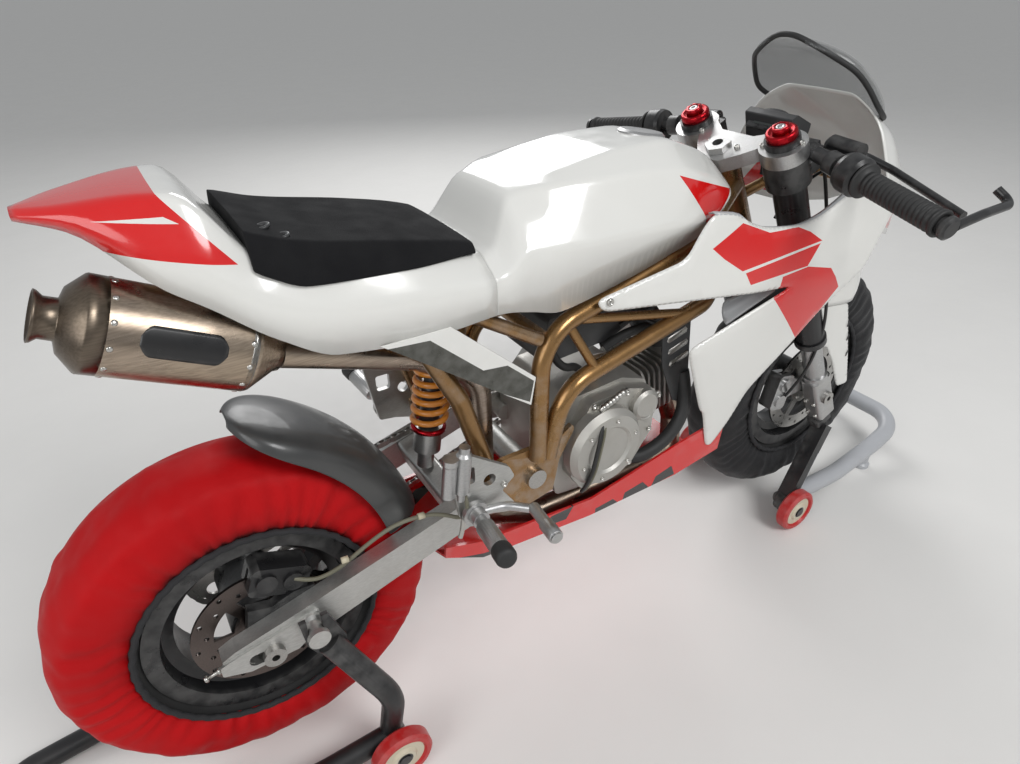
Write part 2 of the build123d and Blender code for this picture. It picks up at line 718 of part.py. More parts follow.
def caliper(x, z, disc_outer_y, angle, reach, outer_y, inner_y):
    """A two piston caliper over the edge of a disc, at an angle round the wheel."""
    place = Plane(origin=(x, outer_y, z), x_dir=(cos(radians(angle)), 0, sin(radians(angle))), z_dir=(0, 1, 0))
    with BuildPart(mode=Mode.PRIVATE) as body:
        with BuildSketch(place):
            with Locations((reach, 0)):
                RectangleRounded(42, 74, 9)
        extrude(amount=inner_y - outer_y)
        with BuildSketch(place.offset(disc_outer_y - outer_y - caliper_gap)):
            with Locations((reach - 12, 0)):
                Rectangle(46, 90)
        extrude(amount=disc_thick + 2 * caliper_gap, mode=Mode.SUBTRACT)
        with BuildSketch(place.offset(-4)):
            with Locations((reach, 17), (reach, -17)):
                Circle(13)
        extrude(amount=5)
    return body.part


rear_caliper_angle = 68.0
with BuildPart() as rear_caliper:
    add(caliper(rear_x, rear_z, rear_disc_y, rear_caliper_angle, 84.0, -76.0, -42.0))
    with BuildSketch(side_plane(-66.0)):
        with BuildLine():
            Polyline((rear_x - 20, 262.0), (rear_x - 22, 290.0), (rear_x - 14, 330.0), (rear_x + 14, 322.0),
                     (rear_x + 44, 332.0), (rear_x + 70, 330.0), (rear_x + 62, 300.0), (rear_x + 20, 262.0),
                     close=True)
        make_face()
        with Locations((rear_x, rear_z)):
            Circle(axle_radius + running_gap, mode=Mode.SUBTRACT)
    extrude(amount=arm_inner_y - seat_gap - 66.0)
save(rear_caliper, "rear_brake_caliper")

front_caliper_angle = 168.0
with BuildPart() as front_caliper:
    add(caliper(front_x, front_z, front_disc_y, front_caliper_angle, 88.0, -64.7, -36.0))
    with BuildSketch(side_plane(-62.0)):
        with BuildLine():
            Polyline((front_x - 96, front_z + 30), (front_x - 62, front_z + 44), (front_x - 30, front_z + 30),
                     (front_x - 14, front_z + 6), (front_x - 60, front_z + 4), (front_x - 92, front_z), close=True)
        make_face()
    extrude(amount=leg_y - 19 - seat_gap - 62.0)
save(front_caliper, "front_brake_caliper")

plate_face_y = plate_inner_y + plate_thick + 24
foot_plate_thick = 8.0
peg_x = 272.0
peg_z = 404.0
peg_boss = 26.0

with BuildPart() as foot_plates:
    with BuildSketch(side_plane(-plate_face_y + foot_plate_thick)):
        with BuildLine():
            Polyline((along(238), 500.0), (along(262), 498.0), (along(330), 448.0), (along(338), 430.0),
                     (along(318), 414.0), (along(338), 384.0), (along(330), 372.0), (along(282), 388.0),
                     (along(256), 392.0), close=True)
        make_face()
        fillet(vertices(), 5)
        with Locations((along(268), 458)):
            RectangleRounded(22, 26, 4, mode=Mode.SUBTRACT)
        with Locations((along(300), 440)):
            Circle(9, mode=Mode.SUBTRACT)
    extrude(amount=foot_plate_thick)
    for x, z in ((321, 424), (326, 384)):
        add(turned(from_rear(x, -plate_inner_y - plate_thick - seat_gap, z), (0, -1, 0),
                   [(0, 0), (8, 0), (8, 20), (0, 20)]))
    mirror(about=Plane.XZ)
save(foot_plates, "rearset_plates")

with BuildPart() as footpegs:
    for side in (-1, 1):
        add(turned(from_rear(peg_x, side * (plate_face_y + seat_gap), peg_z), (0, side, 0),
                   [(0, 0), (12, 0), (12, peg_boss), (0, peg_boss)]))
        add(turned(from_rear(peg_x, side * (plate_face_y + 18), peg_z), (-0.18, side, 0.22),
                   [(0, 0), (8, 0), (8, 24), (11.5, 26), (11.5, 100), (9, 104), (0, 104)]))
save(footpegs, "footpegs")

# Each foot lever turns on the boss of its footpeg
with BuildPart() as foot_levers:
    for side in (-1, 1):
        with BuildSketch(side_plane(side * (plate_face_y + 6) if side < 0 else plate_face_y + 13)):
            with Locations((along(peg_x), peg_z)):
                Circle(18)
        extrude(amount=7)
        add(tube([from_rear(peg_x + 12, side * (plate_face_y + 9.5), peg_z - 2),
                  from_rear(peg_x + 44, side * (plate_face_y + 12), peg_z - 6),
                  from_rear(peg_x + 72, side * (plate_face_y + 44), peg_z - 2)], [30], 6.0))
        add(turned(from_rear(peg_x + 70, side * (plate_face_y + 38), peg_z - 2), (-0.1, side, 0),
                   [(0, 0), (8, 0), (8, 64), (0, 64)]))
    with BuildSketch(side_plane(plate_face_y + 20)):
        with Locations((along(peg_x), peg_z)):
            Circle(12 + seat_gap)
    extrude(amount=2 * plate_face_y + 40, mode=Mode.SUBTRACT)
save(foot_levers, "foot_levers")

with BuildPart() as rear_master:
    hung_y = -plate_face_y - 10 - seat_gap
    add(turned(from_rear(252, hung_y, 436), (0.12, 0, 1),
               [(0, 0), (5, 0), (5, 12), (10, 14), (10, 68), (7, 72), (7, 80), (0, 80)]))
    add(turned(from_rear(235, hung_y, 450), (0.12, 0, 1), [(0, 0), (9, 0), (9, 46), (10, 48), (10, 56), (0, 56)]))
save(rear_master, "rear_master_cylinder")

# Shock absorber between the swingarm bridge and the frame
shock_low = from_rear(bridge_x - 9, 0, 393.6)
shock_high = from_rear(304, 0, 590)
coil_radius = 28.0
coil_count = 6
coil_pitch = 18.0
shock_along = Vector(*shock_high) - Vector(*shock_low)
with BuildPart() as damper:
    add(turned(shock_low, shock_along, [(0, -8), (12, -8), (12, 16), (20, 20), (20, 59.7), (9, 59.7), (9, 168.3),
                                        (26, 168.3), (26, 176), (14, 180), (14, 204), (0, 204)]))
save(damper, "shock_damper")
with BuildPart() as spring:
    profile = [(9.3, 60)]
    for turn in range(coil_count):
        low = 60 + turn * coil_pitch
        profile += [(20, low), (coil_radius, low + 4), (coil_radius, low + 9), (20, low + 13)]
    profile += [(20, 60 + coil_count * coil_pitch), (9.3, 60 + coil_count * coil_pitch)]
    add(turned(shock_low, shock_along, profile))
save(spring, "shock_spring")

# Rear mudguard over the wheel, standing on the swingarm bridge
guard_centre = (-59.0, -5.0)          # from the rear axle
guard_clearance = 9.3
guard_radius = warmer_radius - guard_centre[0] + guard_clearance
guard_wall = 3.0
guard_right = rear_warmer_half + 3.0
guard_left = chain_inner_y - 0.5      # inside the chain
with BuildPart() as hugger:
    guard_axis = Axis((rear_x + guard_centre[0], 0, rear_z + guard_centre[1]), (0, -1, 0))
    bridge_angle = atan2(bridge_z - rear_z - guard_centre[1], bridge_x - guard_centre[0])
    start = bridge_angle + asin((bridge_height / 2 + 1) / guard_radius)
    crown = -guard_radius
    section = Plane(origin=guard_axis.position, x_dir=(0, 1, 0), z_dir=(-sin(start), 0, cos(start)))
    with BuildSketch(section):
        with BuildLine():
            Polyline((-guard_right, crown + 46), (-guard_right + 2, crown + 22))
            ThreePointArc((-guard_right + 2, crown + 22), (0, crown), (guard_left - 2, crown + 22))
            Polyline((guard_left - 2, crown + 22), (guard_left, crown + 46), (guard_left - guard_wall, crown + 46),
                     (guard_left - guard_wall - 2, crown + 24))
            ThreePointArc((guard_left - guard_wall - 2, crown + 24), (0, crown + guard_wall),
                          (-guard_right + guard_wall + 2, crown + 24))
            Polyline((-guard_right + guard_wall + 2, crown + 24), (-guard_right + guard_wall, crown + 46),
                     (-guard_right, crown + 46))
        make_face()
    revolve(axis=guard_axis, revolution_arc=74.0 - degrees(start))
save(hugger, "rear_mudguard")

# Painted bodywork, as thin mouldings
skin_wall = 3.0


def station_plane(x):
    return Plane(origin=(x, 0, 0), x_dir=(0, 1, 0), z_dir=(1, 0, 0))


def ring(half_section):
    """A closed outline from its right half, listed from the top edge to the low edge."""
    return [(-y, z) for y, z in half_section] + [(y, z) for y, z in reversed(half_section)]


def solid_loft(stations):
    """A ruled loft through right half sections."""
    with BuildPart(mode=Mode.PRIVATE) as body:
        for x, half_section in stations:
            with BuildSketch(station_plane(x)):
                with BuildLine():
                    Polyline(*ring(half_section), close=True)
                make_face()
        loft(ruled=True)
    return body.part


def hollow(stations, drop=60.0):
    """The inside of a moulding, one wall smaller and dropped below its low edge."""
    inside = []
    for x, half_section in stations:
        inset = [(y - skin_wall, z - skin_wall) for y, z in half_section[:-1]]
        low_y, low_z = half_section[-1]
        inset.append((low_y - skin_wall, low_z - drop))
        inside.append((x, inset))
    return solid_loft(inside)


tail_stations = [
    # station, then top edge, crease and low edge of the right half
    (rear_x - 97, [(6, 829), (14, 825), (10, 820)]),
    (rear_x - 60, [(34, 833), (44, 824), (40, 812)]),
    (rear_x, [(58, 838), (82, 798), (88, 760)]),
    (rear_x + 30, [(68, 836), (92, 782), (96, 738)]),
    (rear_x + 85, [(84, 776), (106, 734), (106, 693)]),
    (along(142), [(92, 764), (113, 713), (111, 661)]),
    (along(240), [(92, 745), (118, 705), (118, 654)]),
    (along(330), [(80, 722), (116, 699), (115, 657)]),
]
blade_face_y = 119.0
with BuildPart() as tail:
    add(solid_loft(tail_stations))
    add(hollow(tail_stations[1:]), mode=Mode.SUBTRACT)
    # A tapering blade below each side
    with BuildSketch(side_plane(-blade_face_y + 3)):
        with BuildLine():
            Polyline((along(184), 661.0), (along(268), 661.0), (along(383.4), 557.0), (along(376.4), 517.0),
                     close=True)
        make_face()
    extrude(amount=3)
    with BuildSketch(side_plane(blade_face_y)):
        with BuildLine():
            Polyline((along(184), 661.0), (along(268), 661.0), (along(383.4), 557.0), (along(376.4), 517.0),
                     close=True)
        make_face()
    extrude(amount=3)
save(tail, "seat_and_tail")

pad_lift = 0.6                   # between the seat and the foam stuck on it
pad_stations = [
    # station, then top edge, low outer edge, under edge and seat edge of the right half
    (rear_x + 78, [(83, 799), (100, 762), (95, 757), (80, 770)]),
    (along(125), [(90, 783), (110, 741), (104, 735.5), (88, 750)]),
    (along(230), [(92, 762), (108, 734), (102, 728), (89, 735)]),
    (along(322), [(82, 740), (90, 727), (84, 722.5), (79, 720)]),
]
with BuildPart() as pad:
    add(solid_loft(pad_stations))
    with Locations((0, 0, pad_lift)):
        add(solid_loft(tail_stations), mode=Mode.SUBTRACT)
save(pad, "seat_pad")

tank_stations = [
    # station, then top edge, shoulder, belly and low edge of the right half
    (along(330.4), [(46, 722), (82, 720), (114, 700), (115, 657)]),
    (along(345), [(50, 728), (80, 724), (113, 702), (115, 656)]),
    (along(379), [(42, 778), (62, 776), (113, 724), (114, 648)]),
    (along(424), [(52, 790), (80, 786), (121, 722), (112, 636)]),
    (along(471), [(60, 799), (92, 787), (125, 722), (110, 641)]),
    (along(540), [(60, 807), (99, 786), (125, 720), (107, 653)]),
    (along(612), [(56, 808), (98, 780), (121, 716), (100, 666)]),
    (along(690), [(44, 787), (88, 756), (102, 712), (92, 684)]),
    (along(742), [(34, 759), (68, 736), (78, 722), (74, 710)]),
    (along(761), [(20, 737), (42, 728), (50, 722), (46, 716)]),
]
cap_centre = from_rear(630, 0, 796)
cap_up = (0.16, 0, 1)
with BuildPart() as tank:
    add(solid_loft(tank_stations))
    # Hollow underneath, over the frame rails and the airbox
    inside = []
    for x, half_section in tank_stations[2:-2]:
        inset = [(y - 6, z - 34) for y, z in half_section[:2]]
        inset += [(half_section[2][0] - skin_wall, half_section[2][1] - 20)]
        inset += [(half_section[3][0] - skin_wall, half_section[3][1] - 60)]
        inside.append((x, inset))
    add(solid_loft(inside), mode=Mode.SUBTRACT)
    add(turned(cap_centre, cap_up, [(0, 0), (33 + seat_gap, 0), (33 + seat_gap, 20), (0, 20)]), mode=Mode.SUBTRACT)
save(tank, "tank_cover")

with BuildPart() as cap:
    add(turned(cap_centre, cap_up, [(0, seat_gap), (33, seat_gap), (33, 10), (29, 13), (0, 13)]))
save(cap, "filler_cap")


def skin(corners, wall, inward):
    """A flat panel through its corners, with its wall measured along one direction."""
    first, second, third = (Vector(*corner) for corner in corners[:3])
    plane = Plane(origin=first, x_dir=second - first, z_dir=(second - first).cross(third - first))
    flat = [plane.to_local_coords(Vector(*corner)) for corner in corners]
    with BuildPart(mode=Mode.PRIVATE) as body:
        with BuildSketch(plane):
            with BuildLine():
                Polyline(*[(p.X, p.Y) for p in flat], close=True)
            make_face()
        extrude(amount=wall, dir=inward)
    return body.part


fairing_line_z = 590.0


def upper_y(x, z):
    return -(121 + 0.0875 * (x - 480) - 0.12 * (z - 640))


def lower_y(x, z):
    return upper_y(x, fairing_line_z) + 0.11 * (fairing_line_z - z)


upper_outline = [(817, 590), (744, 594), (484, 622), (474, 640), (617, 667), (644, 706), (662, 722), (704, 714),
                 (728, 697), (762, 686), (821, 680), (861, 687), (936, 722), (1040, 706), (972, 590)]
lower_outline = [(972, 590), (902, 529), (852, 468), (793, 403), (771, 344), (746, 300), (733, 304), (706, 384),
                 (697, 393), (640, 522), (817, 590)]
for side, hand in ((-1, "right"), (1, "left")):
    with BuildPart() as fairing:
        inward = (0, -side, 0)
        add(skin([from_rear(x, -side * upper_y(x, z), z) for x, z in upper_outline], 3.5, inward))
        add(skin([from_rear(x, -side * lower_y(x, z), z) for x, z in lower_outline], 3.5, inward))
    save(fairing, f"side_fairing_{hand}")

screen_stations = [
    # station, half width, low edge and crown
    (along(900), 36, 900, 912),
    (along(954), 98, 862, 895),
    (along(988), 113, 812, 878),
    (along(1045), 92, 792, 838),
    (along(1084), 50, 784, 800),
]


def arch_solid(stations, inset=0.0, drop=0.5):
    """An arched loft through stations of half width, low edge and crown, closed by its chords."""
    with BuildPart(mode=Mode.PRIVATE) as body:
        for x, half, low, crown in stations:
            with BuildSketch(station_plane(x)):
                with BuildLine():
                    ThreePointArc((inset - half, low - inset), (0, crown - inset), (half - inset, low - inset))
                    Polyline((half - inset, low - inset), (half - inset, low - inset - drop),
                             (inset - half, low - inset - drop), (inset - half, low - inset))
                make_face()
        loft()
    return body.part


nose_stations = [
    # station, then roof edge, shoulder, widest line and low edge of the right half
    (along(1000), [(66, 830), (116, 798), (154, 712), (158, 640)]),
    (along(1060), [(52, 798), (104, 776), (140, 704), (138, 618)]),
    (along(1120), [(40, 760), (80, 738), (104, 684), (100, 604)]),
    (along(1162), [(22, 716), (46, 700), (58, 664), (54, 610)]),
]
with BuildPart() as nose:
    add(solid_loft(nose_stations))
    add(hollow(nose_stations[:-1]), mode=Mode.SUBTRACT)
    add(arch_solid(screen_stations, -seat_gap, 14.0), mode=Mode.SUBTRACT)
save(nose, "nose_cowl")

with BuildPart() as screen:
    add(arch_solid(screen_stations))
    add(arch_solid(screen_stations, skin_wall, 5.0), mode=Mode.SUBTRACT)
save(screen, "windscreen")

with BuildPart() as dash:
    with BuildSketch(side_plane(45)):
        with BuildLine():
            Polyline((along(900), 760.0), (along(888), 800.0), (along(900), 806.0), (along(935), 790.0),
                     (along(930), 760.0), close=True)
        make_face()
        fillet(vertices(), 3)
    extrude(amount=90)
    with BuildSketch(side_plane(12)):
        with Locations((along(916), 735)):
            Rectangle(16, 60)
    extrude(amount=24)
    stay_gap = tube([from_rear(850, 0, 682), from_rear(930, 0, 700), from_rear(1010, 0, 702)], [60], 9.0 + seat_gap)
    add(stay_gap, mode=Mode.SUBTRACT)
save(dash, "dash")

belly_stations = [
    # station, then side edge, chine and keel of the right half
    (along(254), [(88, 300), (83, 276), (48, 258)]),
    (along(310), [(98, 292), (94, 256), (60, 236)]),
    (along(500), [(106, 288), (104, 252), (66, 228)]),
    (along(676), [(112, 330), (110, 262), (66, 232)]),
    (along(770), [(118.2, 350), (112.6, 280), (60, 248)]),
]
with BuildPart() as belly:
    add(solid_loft(belly_stations))
    inside = []
    for x, half_section in belly_stations:
        inset = [(half_section[0][0] - skin_wall, half_section[0][1] + 40)]
        inset += [(y - skin_wall, z + skin_wall) for y, z in half_section[1:]]
        inside.append((x, inset))
    add(solid_loft(inside), mode=Mode.SUBTRACT)
save(belly, "belly_pan")

# Front mudguard, an arch over the wheel with a blade down each side, hooked round the fork legs
guard_arch = [
    (front_x - 68, 90, 478, 576),
    (front_x + 13, 90, 468, 577),
    (front_x + 80, 58, 505, 566),
    (front_x + 130, 22, 540, 553),
]
with BuildPart() as front_guard:
    add(arch_solid(guard_arch))
    add(arch_solid(guard_arch, 3.0, 5.0), mode=Mode.SUBTRACT)
    blade_outline = [(-72, 477), (13, 466), (60, 345), (84, 276), (80, 270), (52, 272), (10, 345),
                     (-20, 384), (-60, 392), (-74, 436)]
    with BuildSketch(side_plane(-87)):
        with BuildLine():
            Polyline(*[(front_x + x, z) for x, z in blade_outline], close=True)
        make_face()
    extrude(amount=3)
    with BuildSketch(side_plane(90)):
        with BuildLine():
            Polyline(*[(front_x + x, z) for x, z in blade_outline], close=True)
        make_face()
    extrude(amount=3)
    add(leg_pair(clamp_top - 14, upper_tube_end - 10, 22 + seat_gap), mode=Mode.SUBTRACT)
    add(leg_pair(upper_tube_end - 14, upper_tube_end + 1, upper_tube_radius + 3 + seat_gap), mode=Mode.SUBTRACT)
    add(leg_pair(upper_tube_end, 400, upper_tube_radius + seat_gap), mode=Mode.SUBTRACT)
save(front_guard, "front_mudguard")

# Paddock stands
castor_radius = 44.0
castor_half = 12.0
stand_tube = 16.0
rear_castor_x = 119.5
rear_castor_y = 178.0
front_castor_x = -69.0           # from the front axle
front_castor_y = 142.0


def castor(x, side, y):
    """A castor with a hollow tread, free on its stub axle."""
    return turned((x, side * (y - castor_half), castor_radius), (0, side, 0),
                  [(9 + seat_gap, 0), (16, 0), (20, 4), (31, 4), (34, 0), (40, 0), (castor_radius, 4),
                   (castor_radius, 20), (40, 24), (34, 24), (31, 20), (20, 20), (16, 24), (9 + seat_gap, 24)])


def stub_axle(x, side, y):
    """A boss on the inside of a castor with the axle it turns on."""
    base = y - castor_half - 26
    return turned((x, side * base, castor_radius), (0, side, 0),
                  [(0, 0), (20, 0), (20, 21), (14, 25), (9, 25), (9, 52), (0, 52)])


rear_arm = [from_rear(114, -146, 50), from_rear(20, -140, 36), from_rear(-250, -116, stand_tube + 2),
            from_rear(-402 + stand_tube, -100, stand_tube + 2), from_rear(-402 + stand_tube, 0, stand_tube + 2)]
rear_upright = [from_rear(64, -124, 270), from_rear(126, -160, 150), from_rear(119, -142, 56)]
with BuildPart() as rear_stand:
    for side in (-1, 1):
        arm = [(x, -side * y, z) for x, y, z in rear_arm]
        upright = [(x, -side * y, z) for x, y, z in rear_upright]
        add(tube(arm, [200, 200, 60], stand_tube))
        add(tube(upright, [70], stand_tube))
        add(stub_axle(rear_x + rear_castor_x, side, rear_castor_y))
        with BuildSketch(side_plane(-120.6 if side < 0 else 126.6)):
            with BuildLine():
                Polyline((rear_x + 34, 322.0), (rear_x + 38, 280.0), (rear_x + 52, 252.0), (rear_x + 84, 250.0),
                         (rear_x + 88, 270.0), (rear_x + 70, 322.0), (rear_x + 61.3, 322.0), (rear_x + 61.3, 300.0),
                         (rear_x + 42.7, 300.0), (rear_x + 42.7, 322.0), close=True)
            make_face()
            with Locations((rear_x + spool_x, spool_z)):
                Circle(9.3, mode=Mode.SUBTRACT)
        extrude(amount=6)
    for side in (-1, 1):
        add(castor(rear_x + rear_castor_x, side, rear_castor_y))
save(rear_stand, "rear_stand")

handle_x = 350.0                 # from the front axle
front_arm = [from_front(front_castor_x, -106, 42), from_front(120, -103, 30), from_front(250, -97, 48),
             from_front(handle_x, -92, 76), from_front(handle_x, 0, 76)]
foot_lift = leg_foot - seat_gap
with BuildPart() as front_stand:
    for side in (-1, 1):
        add(tube([(x, -side * y, z) for x, y, z in front_arm], [220, 260, 66], 18))
        with BuildSketch(fork_plane(foot_lift - 14)):
            with Locations((-11, side * (leg_y + 5))):
                RectangleRounded(40, 28, 5)
        extrude(amount=14)
        top = Vector(*fork_point(-10, side * (leg_y + 12), foot_lift - 24))
        foot = Vector(*from_front(front_castor_x, side * 114, 44))
        with BuildSketch(Plane(origin=top, z_dir=foot - top)):
            Rectangle(24, 30)
        extrude(amount=(foot - top).length)
        add(stub_axle(front_x + front_castor_x, side, front_castor_y))
        add(turned(from_front(230, side * 97, 46), (0, 0, -1), [(0, 0), (14, 0), (14, 34), (18, 38), (18, 46), (0, 46)]))
    for side in (-1, 1):
        add(castor(front_x + front_castor_x, side, front_castor_y))
save(front_stand, "front_stand")

# Chain, as one plain channel round both sprockets


def chain_loop(offset):
    """The chain's path round both sprockets, moved out from its pitch line."""
    span_x = along(front_sprocket_x) - rear_x
    span_z = front_sprocket_z - rear_z
    turn = atan2(span_z, span_x)
    lean = atan2(sprocket_radius - front_sprocket_radius, span_x)
    up = turn + radians(90) - lean
    down = turn - radians(90) + lean
    rear_arc = (rear_x, rear_z, sprocket_radius + offset, up, down + radians(360))
    front_arc = (along(front_sprocket_x), front_sprocket_z, front_sprocket_radius + offset, down, up)
    with BuildSketch(mode=Mode.PRIVATE) as loop:
        with BuildLine():
            ends = []
            for x, z, radius, first, last in (rear_arc, front_arc):
                marks = [first, (first + last) / 2, last]
                points = [(x + radius * cos(mark), z + radius * sin(mark)) for mark in marks]
                ThreePointArc(*points)
                ends.append(points)
            Line(ends[0][2], ends[1][0])
            Line(ends[1][2], ends[0][0])
        make_face()
    return loop.sketch


chain_y = sprocket_y - sprocket_thick / 2
plate_y = 2.8                    # the side plates' inner faces from the chain's middle
with BuildPart() as chain:
    for outer_y, thick, inner in ((chain_y + 4, 8.0, chain_half), (chain_y + 4, 4.0 - plate_y, -chain_half),
                                  (chain_y - plate_y, 4.0 - plate_y, -chain_half)):
        with BuildSketch(side_plane(outer_y)):
            add(chain_loop(chain_half + 2))
            add(chain_loop(inner), mode=Mode.SUBTRACT)
        extrude(amount=thick)
save(chain, "chain")
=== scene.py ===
from math import asin, atan2, cos, exp, hypot, pi, radians, sin, sqrt

import bmesh
import bpy
from mathutils import Matrix, Vector, noise
from mathutils.geometry import delaunay_2d_cdt


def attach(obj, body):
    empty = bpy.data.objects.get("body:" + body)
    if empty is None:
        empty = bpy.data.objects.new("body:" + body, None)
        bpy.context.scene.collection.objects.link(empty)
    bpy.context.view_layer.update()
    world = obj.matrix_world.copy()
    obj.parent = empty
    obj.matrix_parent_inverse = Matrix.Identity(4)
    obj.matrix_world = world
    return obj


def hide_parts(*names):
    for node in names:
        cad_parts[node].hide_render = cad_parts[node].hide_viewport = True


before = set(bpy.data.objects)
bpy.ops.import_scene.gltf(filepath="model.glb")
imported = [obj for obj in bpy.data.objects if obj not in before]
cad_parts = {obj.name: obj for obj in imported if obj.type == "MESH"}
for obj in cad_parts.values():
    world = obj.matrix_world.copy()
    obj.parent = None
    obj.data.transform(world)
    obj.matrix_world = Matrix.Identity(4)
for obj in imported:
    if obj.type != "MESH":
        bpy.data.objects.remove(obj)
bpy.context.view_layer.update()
scene = bpy.context.scene
mm = 0.001
rearAxle = Vector((-524, 0, 275.8))          # all places below are in millimetres
frontAxle = Vector((556, 0, 272))
rake = radians(26.5)
forkUp = Vector((-sin(rake), 0, cos(rake)))
barInner, barOuter = Vector((336, 98, 774)), Vector((293, 346, 733))
hands = ((-1, "Right"), (1, "Left"))         # the sign of Y on each side

cameraFacts = {"place": (-558.5, -733.8, 1012.6), "yaw": 58.383, "pitch": -31.891, "roll": -0.636, "lens": 24.197}
lampFacts = {
    "keyLamp": {"place": (0.6, -2.6, 3.0), "aim": (0, 0, 0.4), "size": 1.6, "power": 70},
    "fillLamp": {"place": (-2.8, -1.2, 1.9), "aim": (0, 0, 0.5), "size": 2.2, "power": 34},
    "backLamp": {"place": (1.2, 2.8, 2.4), "aim": (0, 0, 0.5), "size": 2.0, "power": 50},
}


def placeCamera():
    yaw, pitch, roll = (radians(cameraFacts[k]) for k in ("yaw", "pitch", "roll"))
    ahead = Vector((cos(yaw) * cos(pitch), sin(yaw) * cos(pitch), sin(pitch)))
    right = Vector((sin(yaw), -cos(yaw), 0))
    up = right.cross(ahead)
    rightRolled = right * cos(roll) + up * sin(roll)
    upRolled = up * cos(roll) - right * sin(roll)
    turn = Matrix((rightRolled, upRolled, -ahead)).transposed().to_4x4()
    data = bpy.data.cameras.new("photoCamera")
    data.lens, data.sensor_width, data.clip_start = cameraFacts["lens"], 36, 0.02
    camera = bpy.data.objects.new("photoCamera", data)
    camera.matrix_world = Matrix.Translation(Vector(cameraFacts["place"]) * mm) @ turn
    scene.collection.objects.link(camera)
    scene.camera = camera


def addLamp(name, place, aim, size, power):
    data = bpy.data.lights.new(name, "AREA")
    data.shape, data.size, data.energy = "DISK", size, power
    lamp = bpy.data.objects.new(name, data)
    lamp.location = place
    lamp.rotation_euler = (Vector(aim) - Vector(place)).to_track_quat("-Z", "Y").to_euler()
    scene.collection.objects.link(lamp)


placeCamera()
for lampName, facts in lampFacts.items():
    addLamp(lampName, **facts)
scene.view_settings.view_transform = "Standard"


# places measured from the rear axle, from the front axle, in the fork's own frame and along a bar

def fromRear(x, y, z):
    return Vector((rearAxle.x + x, y, z))


def fromFront(x, y, z):
    return Vector((frontAxle.x + x, y, z))


def forkPoint(u, y, s):
    return Vector((frontAxle.x + u * cos(rake) - s * sin(rake), y,
                   frontAxle.z + u * sin(rake) + s * cos(rake)))


def alongBar(y, side, lift=0, ahead=0):
    spot = barInner.lerp(barOuter, (y - barInner.y) / (barOuter.y - barInner.y))
    return Vector((spot.x + ahead, side * y, spot.z + lift))


def flatPath(outline, y):
    return [fromRear(x, y, z) for x, z in outline]


def rearPath(*places):
    return [fromRear(*place) for place in places]


def forkPath(*places):
    return [forkPoint(*place) for place in places]


def spread(first, last, parts):
    return [first + (last - first) * k / parts for k in range(parts + 1)]


def anglesRound(count):
    return [2 * pi * k / count for k in range(count)]


# each corner with the next one, round a closed line
def sidesOf(line):
    return list(zip(line, line[1:] + line[:1]))


# materials; an input called i0, i1 and so on is found by its number

def newNode(tree, kind, settings=(), **inputs):
    node = tree.nodes.new(kind)
    for key, value in dict(settings).items():
        setattr(node, key, value)
    for key, value in inputs.items():
        socket = node.inputs[int(key[1:]) if key[1:].isdigit() else key]
        if isinstance(value, bpy.types.NodeSocket):
            tree.links.new(value, socket)
        else:
            socket.default_value = value
    return node


def sumUp(tree, kind, first, second=0):
    return newNode(tree, "ShaderNodeMath", {"operation": kind}, i0=first, i1=second).outputs[0]


def spotOf(tree, stretch=(1, 1, 1)):
    spot = newNode(tree, "ShaderNodeTexCoord")
    return newNode(tree, "ShaderNodeMapping", Vector=spot.outputs["Object"], Scale=stretch).outputs["Vector"]


def blotch(tree, scale, detail=4, stretch=(1, 1, 1), low=0.35, high=0.65):
    cloud = newNode(tree, "ShaderNodeTexNoise", Vector=spotOf(tree, stretch), Scale=scale, Detail=detail)
    return newNode(tree, "ShaderNodeMapRange", i0=cloud.outputs["Fac"], i1=low, i2=high).outputs[0]


def mixColour(tree, share, first, second):
    mixer = newNode(tree, "ShaderNodeMix", {"data_type": "RGBA"})
    for value, index in ((share, 0), (first, 6), (second, 7)):
        if isinstance(value, bpy.types.NodeSocket):
            tree.links.new(value, mixer.inputs[index])
        else:
            mixer.inputs[index].default_value = value if index == 0 else (*value[:3], 1)
    return mixer.outputs[2]


# 1 inside a convex outline of x and z
def insideMask(tree, corners):
    spot = spotOf(tree, (1000, 1000, 1000))
    edges = sidesOf(corners)
    area = sum(ax * bz - bx * az for (ax, az), (bx, bz) in edges)
    total = None
    for (ax, az), (bx, bz) in edges:
        x, z = Vector((az - bz, bx - ax)).normalized() * (1 if area > 0 else -1)
        dot = newNode(tree, "ShaderNodeVectorMath", {"operation": "DOT_PRODUCT"}, i0=spot, i1=(x, 0, z))
        side = sumUp(tree, "GREATER_THAN", dot.outputs["Value"], x * ax + z * az)
        total = side if total is None else sumUp(tree, "MULTIPLY", total, side)
    return total


# 1 between two distances from an axle line along Y, and beyond some distance from the middle
def ringMask(tree, centre, inner, outer, beyond):
    spot = newNode(tree, "ShaderNodeSeparateXYZ", Vector=spotOf(tree, (1000, 1000, 1000)))
    gaps = [sumUp(tree, "SUBTRACT", spot.outputs[axis], middle) for axis, middle in zip("XZ", centre)]
    reach = sumUp(tree, "SQRT", sumUp(tree, "ADD", *(sumUp(tree, "MULTIPLY", gap, gap) for gap in gaps)))
    across = sumUp(tree, "GREATER_THAN", sumUp(tree, "ABSOLUTE", spot.outputs["Y"]), beyond)
    low, high = sumUp(tree, "GREATER_THAN", reach, inner), sumUp(tree, "LESS_THAN", reach, outer)
    return sumUp(tree, "MULTIPLY", across, sumUp(tree, "MULTIPLY", low, high))


